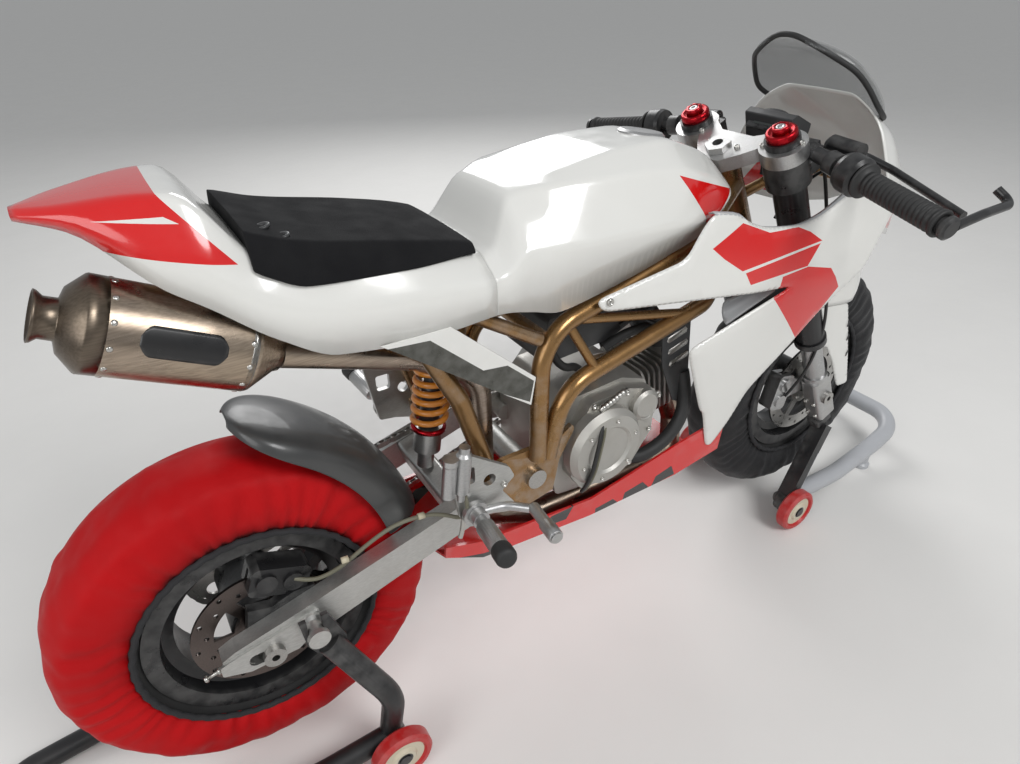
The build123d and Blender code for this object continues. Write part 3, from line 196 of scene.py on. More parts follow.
sharedLook = {
    "mottleScale": 6, "darker": 0.72, "roughSpread": 0.08, "grainDark": 0.4, "coatRough": 0.06, "relief": 0.0006,
    "wear": (0.52, 0.58), "wearScale": 60, "wornShade": (0.5, 0.49, 0.47),
    "dustScale": 14, "dustShade": (0.33, 0.3, 0.26),
}


def makeFinish(name, colour, rough=0.5, metal=0.0, second=None, mottle=0.4, grain=0.0, grainScale=600,
               grainStretch=(1, 1, 1), bump=0.0, bumpScale=200, weave=0, coat=0.0, sheen=0.0, specular=0.5,
               anisotropy=0.0, alpha=1.0, dust=0.0, edgeWear=0.0, zones=(), rings=()):
    material = bpy.data.materials.new(name)
    material.use_nodes = True
    tree, look = material.node_tree, sharedLook
    shader = tree.nodes["Principled BSDF"]
    other = second or [c * look["darker"] for c in colour]
    base = mixColour(tree, sumUp(tree, "MULTIPLY", blotch(tree, look["mottleScale"]), mottle), colour, other)
    for shade, *outlines in zones:
        for corners in outlines:
            base = mixColour(tree, insideMask(tree, corners), base, shade)
    for shade, *ring in rings:
        base = mixColour(tree, ringMask(tree, *ring), base, shade)
    if grain:
        streak = sumUp(tree, "MULTIPLY", blotch(tree, grainScale, 2, grainStretch), grain)
        base = mixColour(tree, streak, base, [c * look["grainDark"] for c in colour])
    if edgeWear:
        curve = newNode(tree, "ShaderNodeNewGeometry").outputs["Pointiness"]
        low, high = look["wear"]
        worn = newNode(tree, "ShaderNodeMapRange", i0=curve, i1=low, i2=high, i4=edgeWear).outputs[0]
        base = mixColour(tree, sumUp(tree, "MULTIPLY", worn, blotch(tree, look["wearScale"])), base, look["wornShade"])
    if dust:
        settled = sumUp(tree, "MULTIPLY", blotch(tree, look["dustScale"], 8, low=0.45, high=0.75), dust)
        base = mixColour(tree, settled, base, look["dustShade"])
    uneven = newNode(tree, "ShaderNodeMapRange", i0=blotch(tree, look["mottleScale"] * 5, 6),
                     i3=max(0.02, rough - look["roughSpread"]), i4=min(1, rough + look["roughSpread"]))
    tree.links.new(base, shader.inputs["Base Color"])
    tree.links.new(uneven.outputs[0], shader.inputs["Roughness"])
    for socket, value in {"Metallic": metal, "Coat Weight": coat, "Coat Roughness": look["coatRough"],
                          "Sheen Weight": sheen, "Alpha": alpha, "Specular IOR Level": specular,
                          "Anisotropic": anisotropy}.items():
        shader.inputs[socket].default_value = value
    if bump:
        if weave:
            spot = spotOf(tree)
            height = sumUp(tree, "ADD", *(newNode(tree, "ShaderNodeTexWave", {"bands_direction": axis}, Vector=spot,
                                                  Scale=weave).outputs["Fac"] for axis in "XZ"))
        else:
            height = blotch(tree, bumpScale, 3, low=0.2, high=0.8)
        relief = newNode(tree, "ShaderNodeBump", Height=height, Strength=bump, Distance=look["relief"])
        tree.links.new(relief.outputs["Normal"], shader.inputs["Normal"])
    return material


white = (0.70, 0.695, 0.665)
dark = (0.015, 0.015, 0.016)
olive = (0.022, 0.022, 0.014)
signalRed = (0.60, 0.006, 0.006)
paintFacts = {
    # ground colour, then each other colour with its outlines of x and z
    "tank": (white, (signalRed, [(88, 773), (216, 730), (152, 693)])),
    "tail": (white, (signalRed, [(-640, 850), (-514.5, 846), (-457.7, 770.7), (-590.3, 803), (-640, 815)]),
             (white, [(-563.6, 821.5), (-496.8, 813.3), (-507.7, 820.3)])),
    "blade": (white, (olive, [(-334, 656), (-283, 652), (-217, 592), (-224, 571), (-286, 612)],
                      [(-217, 592), (-183, 588), (-144, 553), (-150, 523), (-224, 571)])),
    "fairing": (white, (signalRed, [(132.7, 675.7), (154.1, 657.7), (189.1, 633.9), (235.9, 680.3), (184.5, 701.8)],
                        [(189.1, 634), (340.7, 652), (314.6, 669.1), (292, 678.7), (235.9, 680.3)],
                        [(195.4, 630.0), (207.3, 610.2), (316, 618), (338, 648.6)],
                        [(268.9, 610.5), (318, 617), (366.6, 605.9), (396.8, 568.4), (343.9, 481.9), (262, 575)])),
    "nose": (white, (signalRed, [(500, 640), (560, 622), (640, 660), (560, 712)])),
    "guard": (white, ((0.55, 0.56, 0.57), [(500, 560), (690, 560), (690, 600), (500, 600)])),
    "belly": (signalRed, (dark, [(-14, 248), (-14, 262), (20, 267), (34, 252)],
                          [(40, 252), (44, 270), (80, 277), (96, 258)],
                          [(100, 258), (108, 277), (140, 286), (150, 264)],
                          [(-112, 268), (-98, 286), (-58, 289), (-70, 266)],
                          [(-270, 262), (-262, 270), (-180, 262), (-180, 252)])),
}
glossPaint = dict(rough=0.16, coat=0.6, mottle=0.03, bump=0.012, bumpScale=60, dust=0.03, edgeWear=0.1)
castorPlaces = (((-404.5, 44), 165), ((487, 44), 129))          # centre of each castor and where its face starts
standRings = [(shade, centre, inner, outer, beyond) for shade, inner, outer in (
    ((0.42, 0.008, 0.008), 31, 45), ((0.55, 0.50, 0.38), 12, 31)) for centre, beyond in castorPlaces]
finishFacts = {
    "greyPaint": dict(colour=(0.42, 0.43, 0.44), rough=0.3, coat=0.3, mottle=0.12, bump=0.03, bumpScale=90),
    "blackPaint": dict(colour=(0.010, 0.010, 0.011), rough=0.33, mottle=0.2, second=(0.016, 0.016, 0.016), bump=0.05,
                       bumpScale=500, dust=0.012, edgeWear=0.08),
    "standPaint": dict(colour=(0.012, 0.012, 0.013), rough=0.38, mottle=0.2, second=(0.02, 0.02, 0.02), bump=0.12,
                       bumpScale=400, dust=0.05, rings=standRings, edgeWear=0.12,
                       zones=[((0.40, 0.41, 0.43), [(512, -5), (960, -5), (960, 140), (560, 140), (512, 60)])]),
    "darkPlastic": dict(colour=(0.03, 0.031, 0.033), rough=0.42, second=(0.055, 0.055, 0.055), bump=0.12, bumpScale=900,
                        dust=0.04),
    "carbonGuard": dict(colour=(0.040, 0.041, 0.042), rough=0.36, mottle=0.3, second=(0.055, 0.055, 0.052), coat=0.2,
                        bump=0.04, bumpScale=700, dust=0.04),
    "castMetal": dict(colour=(0.5, 0.49, 0.46), metal=0.85, mottle=0.5, second=(0.36, 0.35, 0.33), bump=0.35,
                      bumpScale=700, dust=0.25, edgeWear=0.4),
    "aluminium": dict(colour=(0.50, 0.50, 0.50), rough=0.36, metal=0.95, second=(0.5, 0.5, 0.5), grain=0.3,
                      grainScale=900, grainStretch=(0.1, 1, 1), bump=0.05, bumpScale=900, dust=0.08, edgeWear=0.4),
    "satinAluminium": dict(colour=(0.6, 0.6, 0.58), rough=0.45, metal=0.9, grain=0.25, grainScale=700,
                           grainStretch=(0.2, 1, 1), bump=0.1, bumpScale=600, dust=0.15, edgeWear=0.4),
    "bronzePaint": dict(colour=(0.34, 0.19, 0.07), rough=0.3, metal=0.8, second=(0.22, 0.12, 0.045), mottle=0.6,
                        grain=0.2, bump=0.06, bumpScale=1500, coat=0.3, edgeWear=0.3),
    "steel": dict(colour=(0.5, 0.49, 0.47), rough=0.33, metal=1.0, mottle=0.5, grain=0.3, dust=0.1, bump=0.05),
    "burntSteel": dict(colour=(0.16, 0.13, 0.12), rough=0.38, metal=1.0, second=(0.09, 0.075, 0.07), mottle=0.6,
                       grain=0.3, dust=0.06, bump=0.05),
    "boltSteel": dict(colour=(0.56, 0.55, 0.52), rough=0.3, metal=1.0, dust=0.12, bump=0.04),
    "titanium": dict(colour=(0.46, 0.37, 0.28), rough=0.32, metal=1.0, second=(0.33, 0.27, 0.24), mottle=0.7,
                     grain=0.45, grainScale=500, grainStretch=(0.03, 1, 1), bump=0.04, anisotropy=0.4),
    "darkTitanium": dict(colour=(0.20, 0.16, 0.12), rough=0.34, metal=1.0, second=(0.12, 0.10, 0.09), mottle=0.7,
                         grain=0.4, grainScale=500, grainStretch=(0.03, 1, 1), bump=0.05),
    "tyre": dict(colour=(0.015, 0.015, 0.015), rough=0.7, mottle=0.5, second=(0.03, 0.03, 0.03), bump=0.2),
    "rubber": dict(colour=(0.014, 0.014, 0.014), rough=0.6, second=(0.028, 0.028, 0.028), bump=0.15),
    "redAnodised": dict(colour=(0.42, 0.008, 0.015), rough=0.28, metal=0.9, mottle=0.3, grain=0.2, bump=0.04),
    "spring": dict(colour=(0.72, 0.25, 0.02), rough=0.35, mottle=0.3, coat=0.4, dust=0.15, bump=0.04),
    "redCloth": dict(colour=(0.44, 0.002, 0.004), rough=0.6, second=(0.33, 0.001, 0.003), mottle=0.6, sheen=0.02,
                     weave=900, bump=0.12, specular=0.16),
    "blackCloth": dict(colour=(0.010, 0.010, 0.011), rough=0.62, second=(0.018, 0.018, 0.02), mottle=0.6, sheen=0.06,
                       weave=900, bump=0.12, specular=0.3),
    "elastic": dict(colour=(0.02, 0.02, 0.022), rough=0.85, weave=2600, bump=0.3),
    "foam": dict(colour=(0.008, 0.008, 0.009), rough=0.95, second=(0.013, 0.013, 0.014), mottle=0.5, bump=0.6,
                 bumpScale=900, specular=0.2),
    "hose": dict(colour=(0.11, 0.105, 0.07), mottle=0.5, second=(0.2, 0.19, 0.14), bump=0.3, bumpScale=2500),
    "cableSheath": dict(colour=(0.012, 0.012, 0.012), rough=0.4, mottle=0.3, bump=0.05),
    "creamPlastic": dict(colour=(0.52, 0.47, 0.34), rough=0.45, mottle=0.3, bump=0.08, dust=0.1),
    "displayGlass": dict(colour=(0.02, 0.025, 0.022), rough=0.12, mottle=0.2, coat=0.5),
    "screenGlass": dict(colour=(0.16, 0.165, 0.165), rough=0.05, mottle=0.1, alpha=0.36, specular=0.6, bump=0.01),
    "floorPaint": dict(colour=(0.72, 0.71, 0.69), rough=0.6, mottle=0.06),
}
finishes = {name: makeFinish(name, **facts) for name, facts in finishFacts.items()}
for name, (ground, *zones) in paintFacts.items():
    finishes[name + "Paint"] = makeFinish(name + "Paint", ground, zones=zones, **glossPaint)
print("stage: finishes made")

nodeFinish = {
    "blackPaint": "rear_rim front_rim fork_upper_tubes clip_on_bars bar_ends_and_lever_guard hand_controls "
                  "rear_brake_caliper",
    "standPaint": "rear_stand front_stand",
    "tyre": "rear_tyre front_tyre",
    "steel": "front_brake_disc rear_sprocket rear_axle swingarm_pivot_bolt front_axle",
    "burntSteel": "rear_brake_disc",
    "satinAluminium": "swingarm rearset_plates axle_plates_and_spools",
    "aluminium": "upper_yoke lower_yoke_and_stem fork_lower_legs front_brake_caliper footpegs foot_levers "
                 "rear_master_cylinder shock_damper filler_cap",
    "bronzePaint": "trellis_frame",
    "castMetal": "crankcase clutch_cover generator_cover cylinder_barrel cylinder_head",
    "carbonGuard": "rear_mudguard",
    "darkPlastic": "airbox_and_throttle_body dash",
    "titanium": "exhaust_pipe",
    "fairingPaint": "side_fairing_right side_fairing_left",
    "guardPaint": "front_mudguard",
    "bellyPaint": "belly_pan",
}
for finish, nodes in nodeFinish.items():
    for node in nodes.split():
        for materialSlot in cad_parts[node].material_slots:
            materialSlot.material = finishes[finish]
print("stage: frame dressed")


# makers of pieces

def settle(piece, body, cadSlot, replaced):
    scene.collection.objects.link(piece)
    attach(piece, body)
    if replaced:
        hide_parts(*replaced)
    return piece


def addPiece(name, points, faces, body, finish, cadSlot, replaced=(), smooth=True):
    mesh = bpy.data.meshes.new(name)
    mesh.from_pydata([Vector(p) * mm for p in points], [], faces)
    build = bmesh.new()
    build.from_mesh(mesh)
    bmesh.ops.remove_doubles(build, verts=build.verts, dist=1e-6)
    bmesh.ops.recalc_face_normals(build, faces=build.faces)
    build.to_mesh(mesh)
    build.free()
    mesh.materials.append(finishes[finish])
    if smooth:
        mesh.shade_smooth()
    return settle(bpy.data.objects.new(name, mesh), body, cadSlot, replaced)


def addTube(name, points, radius, body, finish, cadSlot, replaced=()):
    data = bpy.data.curves.new(name, "CURVE")
    data.dimensions = "3D"
    data.bevel_depth = radius * mm
    data.bevel_resolution = 6
    data.use_fill_caps = True
    data.resolution_u = 10
    spline = data.splines.new("NURBS")
    spline.points.add(len(points) - 1)
    for spot, point in zip(spline.points, points):
        spot.co = (*(Vector(point) * mm), 1)
    spline.order_u = 3
    spline.use_endpoint_u = True
    data.materials.append(finishes[finish])
    return settle(bpy.data.objects.new(name, data), body, cadSlot, replaced)


def addModifier(piece, kind, **settings):
    modifier = piece.modifiers.new(kind.lower(), kind)
    for key, value in settings.items():
        setattr(modifier, key, value)


def thicken(piece, wall, offset=-1):
    addModifier(piece, "SOLIDIFY", thickness=wall * mm, offset=offset)


# quads between neighbouring rows of points
def gridFaces(rows, wide, closed=False, start=0):
    faces = []
    for a in range(start, start + (rows - 1) * wide, wide):
        for b in range(wide if closed else wide - 1):
            ahead = (b + 1) % wide
            faces.append((a + b, a + ahead, a + wide + ahead, a + wide + b))
    return faces


def framed(axis):
    axis = Vector(axis).normalized()
    across = axis.orthogonal().normalized()
    return axis, across, axis.cross(across)


class Heap:
    def __init__(self):
        self.points, self.faces = [], []

    def take(self, points, faces):
        shift = len(self.points)
        self.points += points
        self.faces += [tuple(k + shift for k in face) for face in faces]

    # distance and radius pairs turned about an axis; a wave may change the radius round it
    def turn(self, origin, axis, profile, steps, wave):
        axis, across, third = framed(axis)
        points = []
        for distance, radius in profile:
            for angle in anglesRound(steps):
                reach = radius * (wave(angle, distance) if wave else 1)
                points.append(Vector(origin) + axis * distance
                              + (across * cos(angle) + third * sin(angle)) * reach)
        self.take(points, gridFaces(len(profile), steps, True))

    def lathe(self, origin, axis, profile, steps=32, wave=None):
        closed = [(profile[0][0], 0.001)] * (profile[0][1] > 0.01) + list(profile)
        closed += [(profile[-1][0], 0.001)] * (profile[-1][1] > 0.01)
        self.turn(origin, axis, closed, steps, wave)

    def ringLathe(self, origin, axis, profile, steps=32, wave=None):
        self.turn(origin, axis, list(profile) + [profile[0]], steps, wave)

    # a socket head screw
    def bolt(self, place, axis, radius, height):
        self.lathe(place, axis, [(-2, radius), (height - 0.7, radius), (height, radius - 0.7), (height, radius * 0.55),
                                 (height * 0.45, radius * 0.5)], 24)

    # a flat plate through an outline, thickened along its own normal and chamfered
    def plate(self, outline, normal, thick, chamfer=0.8):
        normal = Vector(normal).normalized()
        middle = sum(outline, Vector((0, 0, 0))) / len(outline)
        rings = ((0, chamfer), (chamfer, 0), (thick - chamfer, 0), (thick, chamfer))
        points = [p + (middle - p).normalized() * pull + normal * lift for lift, pull in rings for p in outline]
        count = len(outline)
        ends = [tuple(range(count)), tuple(3 * count + k for k in reversed(range(count)))]
        self.take(points, ends + gridFaces(4, count, True))

    def piece(self, name, body, finish, cadSlot, replaced=(), smooth=True):
        return addPiece(name, self.points, self.faces, body, finish, cadSlot, replaced, smooth)


# a smooth run of values through stations, without overshoot
def through(stations, values, at):
    count = len(stations)
    slopes = [(values[k + 1] - values[k]) / (stations[k + 1] - stations[k]) for k in range(count - 1)]
    inner = [0 if a * b <= 0 else 2 * a * b / (a + b) for a, b in zip(slopes, slopes[1:])]
    tangents = slopes[:1] + inner + slopes[-1:]
    k = max(0, min(count - 2, sum(1 for s in stations[1:] if s <= at)))
    width = stations[k + 1] - stations[k]
    t = (at - stations[k]) / width
    return ((2 * t ** 3 - 3 * t ** 2 + 1) * values[k] + (t ** 3 - 2 * t ** 2 + t) * width * tangents[k]
            + (3 * t ** 2 - 2 * t ** 3) * values[k + 1] + (t ** 3 - t ** 2) * width * tangents[k + 1])


# the columns of a station table, and the corners of a section, at one place along it
def valuesAt(stations, x):
    xs, *columns = zip(*stations)
    return [through(xs, column, x) for column in columns]


def sectionAt(stations, x):
    xs = [s[0] for s in stations]
    return [tuple(through(xs, [s[1][k][n] for s in stations], x) for n in (0, 1)) for k in range(len(stations[0][1]))]


def bend(first, corner, last, steps):
    return [first * (1 - t) ** 2 + corner * 2 * t * (1 - t) + last * t * t for t in spread(0, 1, steps)]


# a line through corners with each inner corner rounded by a reach
def rounded(corners, reach, steps=4):
    corners = [Vector(corner) for corner in corners]
    line = corners[:1]
    for before, corner, after in zip(corners, corners[1:], corners[2:]):
        first, last = (corner + (other - corner) * min(0.45, reach / max(1e-6, (other - corner).length))
                       for other in (before, after))
        line += bend(first, corner, last, steps)
    return line + corners[-1:]


# points across both halves, from a line through the right half and the mirror of some of its points
def bothHalves(x, line, mirrored):
    left, right = ([fromRear(x, side * p.x, p.y) for p in some] for side, some in ((1, mirrored), (-1, line)))
    return left[::-1] + right


# painted mouldings through right half sections of y and z, mirrored to the left, with rounded creases

shellFacts = {
    "tankCover": {"finish": "tankPaint", "node": "tank_cover", "reach": 7, "stations": [
        (330.4, [(46, 722), (82, 720), (98, 709), (114, 700), (115, 657)]),
        (345, [(50, 728), (80, 724), (97, 712), (113, 702), (115, 656)]),
        (379, [(42, 778), (62, 776), (88, 752), (113, 724), (114, 648)]),
        (424, [(52, 790), (80, 786), (98, 760), (121, 722), (112, 636)]),
        (471, [(60, 799), (92, 787), (105, 760), (125, 722), (110, 641)]),
        (540, [(60, 807), (99, 786), (108, 760), (125, 720), (107, 653)]),
        (612, [(56, 808), (98, 780), (107, 756), (121, 716), (100, 666)]),
        (690, [(44, 787), (88, 756), (95, 738), (102, 712), (92, 684)]),
        (742, [(34, 759), (68, 736), (74, 730), (78, 722), (74, 710)]),
        (761, [(20, 737), (42, 728), (46, 725), (50, 722), (46, 716)])]},
    "seatUnit": {"finish": "tailPaint", "node": "seat_and_tail", "reach": 9, "stations": [
        (-97, [(6, 829), (14, 825), (10, 820)]),
        (-60, [(34, 833), (44, 824), (40, 812)]),
        (0, [(58, 838), (82, 798), (88, 760)]),
        (30, [(68, 836), (92, 782), (96, 738)]),
        (85, [(84, 776), (106, 734), (106, 693)]),
        (142, [(92, 764), (113, 713), (111, 661)]),
        (240, [(92, 745), (118, 705), (118, 654)]),
        (330, [(80, 722), (116, 699), (115, 657)])]},
    "noseCowl": {"finish": "nosePaint", "node": "nose_cowl", "reach": 30, "closed": True, "stations": [
        (1000, [(66, 830), (116, 798), (154, 712), (158, 640)]),
        (1060, [(52, 798), (104, 776), (140, 704), (138, 618)]),
        (1120, [(40, 760), (80, 738), (104, 684), (100, 604)]),
        (1162, [(22, 716), (46, 700), (58, 664), (54, 610)]),
        (1170, [(8, 694), (24, 688), (34, 660), (30, 622)])]},
}
shellWall = 2.4
seatBladeFacts = {"outline": [(184, 661), (268, 661), (383.4, 557), (376.4, 517)], "inner": 116, "thick": 3}


def addShell(name, stations, reach, finish, node, closed=False, between=6, crown=(1.0, 0.6, 0.55)):
    xs = [s[0] for s in stations]
    places = [x for a, b in zip(xs, xs[1:]) for x in spread(a, b, between)[:-1]] + xs[-1:]
    points = []
    for x in places:
        half = sectionAt(stations, x)
        topY, topZ = half[0]
        line = rounded([(0, topZ + crown[0]), (topY * crown[2], topZ + crown[1])] + half, reach)
        points += bothHalves(x, line, line[1:])
    wide = 2 * len(line) - 1
    faces = gridFaces(len(places), wide)
    if closed:
        faces.append(tuple(range(len(points) - wide, len(points))))
    thicken(addPiece(name, points, faces, "chassis", finish, "white_paint", [node]), shellWall)


for name, facts in shellFacts.items():
    addShell(name, **facts)
blades = Heap()
for side in (-1, 1):
    blades.plate(flatPath(seatBladeFacts["outline"], side * seatBladeFacts["inner"]), (0, side, 0),
                 seatBladeFacts["thick"])
blades.piece("seatUnitBlades", "chassis", "bladePaint", "white_paint", smooth=False)

screenFacts = {
    # station from the rear axle, half width, low edge and crown
    "stations": [(900, 34, 900, 912), (925, 74, 883, 906), (954, 98, 860, 896), (988, 111, 820, 879),
                 (1020, 104, 802, 859), (1045, 92, 793, 838), (1070, 68, 787, 814), (1084, 50, 784, 800)],
    "fullness": 0.85, "wall": 2.4, "rimRadius": 4.0, "steps": 28, "lengths": 30,
}


def addScreen():
    stations, steps, lengths = (screenFacts[key] for key in ("stations", "steps", "lengths"))
    rows = []
    for x in spread(stations[0][0], stations[-1][0], lengths):
        half, low, crown = valuesAt(stations, x)
        rows.append([fromRear(x, -half * cos(t), low + (crown - low) * sin(t) ** screenFacts["fullness"])
                     for t in (pi * j / steps for j in range(steps + 1))])
    bubble = addPiece("screenBubble", sum(rows, []), gridFaces(lengths + 1, steps + 1), "chassis", "screenGlass",
                      "screen", ["windscreen"])
    thicken(bubble, screenFacts["wall"])
    some = rows[5::3]
    edge = [row[0] for row in reversed(some)] + [rows[0][k] for k in (7, 14, 21)] + [row[-1] for row in some]
    addTube("screenRim", edge, screenFacts["rimRadius"], "chassis", "rubber", "dark_plastic")


addScreen()
print("stage: bodywork")


# seat pad, a block of closed cell foam

padFacts = {
    # station, then top edge, low outer edge and under edge of the right half
    "stations": [(78, [(83, 798), (99, 764), (88, 760)]), (84, [(86, 796), (103, 760), (92, 756)]),
                 (125, [(89, 782), (109, 741), (99, 738)]), (230, [(91, 761), (107, 734), (98, 730)]),
                 (314, [(83, 741), (91, 729), (84, 725)]), (321, [(80, 737), (88, 727), (82, 724)])],
    "crown": 2.2, "drop": 0.4, "hollow": 2, "reach": 4.5, "bevel": 1.6, "lengths": 34,
    "vents": [(101, -56, 790.5), (114, -74, 783.5)],
}


def addPad():
    stations, crown, lengths = padFacts["stations"], padFacts["crown"], padFacts["lengths"]
    points = []
    for x in spread(stations[0][0], stations[-1][0], lengths):
        half = sectionAt(stations, x)
        topY, topZ = half[0][0], half[0][1] - padFacts["drop"]
        lowY, lowZ = half[2][0], half[2][1] + padFacts["hollow"]
        line = rounded([(0, topZ + crown), (topY * 0.6, topZ + crown * 0.7), *half, (lowY * 0.5, lowZ), (0, lowZ)],
                       padFacts["reach"], 3)
        points += bothHalves(x, line, line[1:-1])
    wide = 2 * len(line) - 2
    faces = gridFaces(lengths + 1, wide, True)
    faces += [tuple(reversed(range(wide))), tuple(lengths * wide + k for k in range(wide))]
    pad = addPiece("seatPad", points, faces, "chassis", "foam", "foam", ["seat_pad"])
    addModifier(pad, "BEVEL", width=padFacts["bevel"] * mm, segments=3, limit_method="ANGLE", angle_limit=0.7)


addPad()


# moulded panels over flat outlines, with rounded corners, a soft edge and a little crown

def softOutline(corners, reach, spacing=9):
    soft, count = [], len(corners)
    for k in range(count):
        before, here, after = (Vector(corners[(k + step) % count]) for step in (-1, 0, 1))
        first, last = (here + (other - here).normalized() * min(reach, (other - here).length * 0.45)
                       for other in (before, after))
        soft += bend(first, here, last, 4)
    line = []
    for spot, ahead in sidesOf(soft):
        parts = max(1, int((ahead - spot).length / spacing))
        line += [spot.lerp(ahead, j / parts) for j in range(parts)]
    return line


def edgeDistance(spot, line):
    best = 1e9
    for start, end in sidesOf(line):
        run = end - start
        share = max(0, min(1, (spot - start).dot(run) / max(1e-9, run.length_squared)))
        best = min(best, (spot - start - run * share).length)
    return best


def insideLine(spot, line):
    inside = False
    for a, b in sidesOf(line):
        if (a.y > spot.y) != (b.y > spot.y) and spot.x < (b.x - a.x) * (spot.y - a.y) / (b.y - a.y) + a.x:
            inside = not inside
    return inside


# points and faces of a panel; a fold is a height at which its face changes direction
def panelMesh(outline, placeOf, reach, edge, crown, grid, fold=None):
    line = softOutline(outline, reach)
    low = Vector((min(p.x for p in line), min(p.y for p in line)))
    high = Vector((max(p.x for p in line), max(p.y for p in line)))
    trial = []                                   # spots and the room that each needs to the edge
    for start, end in sidesOf(line):
        run = end - start
        out = Vector((-run.y, run.x)).normalized()
        trial += [(start + run * 0.5 + way * offset, offset * 0.93) for offset in (edge * 0.25, edge * 0.9)
                  for way in (out, -out)]
    for a in range(int((high.x - low.x) / grid) + 1):
        for b in range(int((high.y - low.y) / grid) + 1):
            spot = low + Vector((grid * (a + 0.5 * (b % 2)), grid * b))
            if fold is None or abs(spot.y - fold) > 3:
                trial.append((spot, edge * 1.6))
    if fold is not None:
        trial += [(Vector((low.x + 6 * a, fold)), edge * 1.2) for a in range(int((high.x - low.x) / 6))]
    spots = line + [spot for spot, room in trial if insideLine(spot, line) and edgeDistance(spot, line) > room]
    count = len(line)
    border = [(k, (k + 1) % count) for k in range(count)]
    flat, _, faces, *_ = delaunay_2d_cdt(spots, border, [], 1, 1e-4)
    points = []
    for spot in flat:
        distance = edgeDistance(spot, line)
        dip = 1 - sqrt(max(0, 1 - max(0, 1 - distance / edge) ** 2))
        points.append(placeOf(spot.x, spot.y, crown * (1 - exp(-distance / 30)) - edge * 0.6 * dip))
    return points, [tuple(face) for face in faces]


foldHeight = 590
fairingFacts = {
    "form": {"reach": 16, "edge": 5, "crown": 2.5, "grid": 13, "fold": foldHeight, "outline": [
        (817, 590), (744, 594), (484, 622), (474, 640), (617, 667), (644, 706), (662, 722), (704, 714), (728, 697),
        (762, 686), (821, 680), (861, 687), (936, 722), (1040, 706), (972, 590), (902, 529), (852, 468), (793, 403),
        (771, 344), (746, 300), (733, 304), (706, 384), (697, 393), (640, 522)]},
    # distance from the middle at one place of the face, and how it changes ahead, above and below
    "wall": 2.6, "face": 121, "faceAt": (480, 640), "flare": 0.0875, "lean": 0.12, "tuck": 0.11,
    "lip": [(662, 722), (704, 714), (728, 697), (762, 686), (821, 680), (861, 687), (936, 722)],
    "lipSection": [(-2.5, -1.5), (-0.5, -7.5), (-4, -15)], "lipWall": 2.2,
}


def addFairing(side, hand):
    faceX, faceZ = fairingFacts["faceAt"]

    def place(x, z, lift):
        y = fairingFacts["face"] + fairingFacts["flare"] * (x - faceX)
        y -= fairingFacts["lean"] * (max(z, foldHeight) - faceZ) + fairingFacts["tuck"] * max(0, foldHeight - z)
        return fromRear(x, side * (y + lift), z)

    thicken(addPiece("sideFairing" + hand, *panelMesh(placeOf=place, **fairingFacts["form"]), "chassis", "fairingPaint",
                     "white_paint", ["side_fairing_" + hand.lower()]), fairingFacts["wall"])
    lip, ribbon = fairingFacts["lip"], []
    for x in spread(lip[0][0], lip[-1][0], 4 * len(lip) - 4):
        z = valuesAt(lip, x)[0]
        ribbon += [place(x, z + rise, lift) for rise, lift in fairingFacts["lipSection"]]
    thicken(addPiece("fairingLip" + hand, ribbon, gridFaces(len(ribbon) // 3, 3), "chassis", "greyPaint",
                     "white_paint"), fairingFacts["lipWall"], 0)


for side, hand in hands:
    addFairing(side, hand)

frontGuardFacts = {
    # station from the front axle, half width, low edge and crown
    "arch": [(-68, 90, 478, 576), (13, 90, 468, 577), (80, 58, 505, 566), (130, 22, 540, 553)],
    "steps": 32, "lengths": 26, "wall": 2.6, "bladeFace": 90, "slots": [(1108, 420), (1119, 388), (1131, 350)],
    "blade": {"reach": 8, "edge": 3, "crown": 1.5, "grid": 11, "outline": [
        (1008, 477), (1093, 466), (1140, 345), (1164, 276), (1160, 270), (1132, 272), (1090, 345), (1060, 384),
        (1020, 392), (1006, 436)]},
}


def addFrontGuard():
    facts = frontGuardFacts
    stations, steps, lengths, wall, face = (facts[key] for key in ("arch", "steps", "lengths", "wall", "bladeFace"))
    points = []
    for x in spread(stations[0][0], stations[-1][0], lengths):
        half, low, crown = valuesAt(stations, x)
        centre = (crown ** 2 - low ** 2 - half ** 2) / (2 * (crown - low))
        radius, reach = crown - centre, atan2(half, low - centre)
        points += [fromFront(x, radius * sin(reach * t), centre + radius * cos(reach * t))
                   for t in spread(-1, 1, steps)]
    thicken(addPiece("frontGuardArch", points, gridFaces(lengths + 1, steps + 1), "fork", "guardPaint", "white_paint",
                     ["front_mudguard"]), wall)
    slots = Heap()
    for side, hand in hands:
        blade = panelMesh(placeOf=lambda x, z, lift: fromRear(x, side * (face + lift), z), **facts["blade"])
        thicken(addPiece("frontGuardBlade" + hand, *blade, "fork", "guardPaint", "white_paint"), wall)
        for x, z in facts["slots"]:
            slots.plate([fromRear(x + 1.6 * cos(t) + 1.2 * sin(t), side * (face + 1), z + 7 * sin(t))
                         for t in anglesRound(16)], (0, side, 0), 0.8, 0.2)
    slots.piece("frontGuardSlots", "fork", "blackPaint", "black_metal")


rearGuardFacts = {
    "middle": fromRear(-59, 0, 270.8), "radius": 312.6, "from": 19.2, "to": 74, "right": 75.5, "left": 67.5,
    "depth": 60, "tipDepth": 20, "tipStart": 0.70, "tipLength": 0.305, "tipPower": 2.6, "tipDrop": 6, "tipShift": 4,
    "lengths": 44, "wall": 2.6,
    "section": [(0, 0), (0.36, 0.03), (0.66, 0.11), (0.84, 0.25), (0.94, 0.46), (0.985, 0.72), (1, 1)],
}


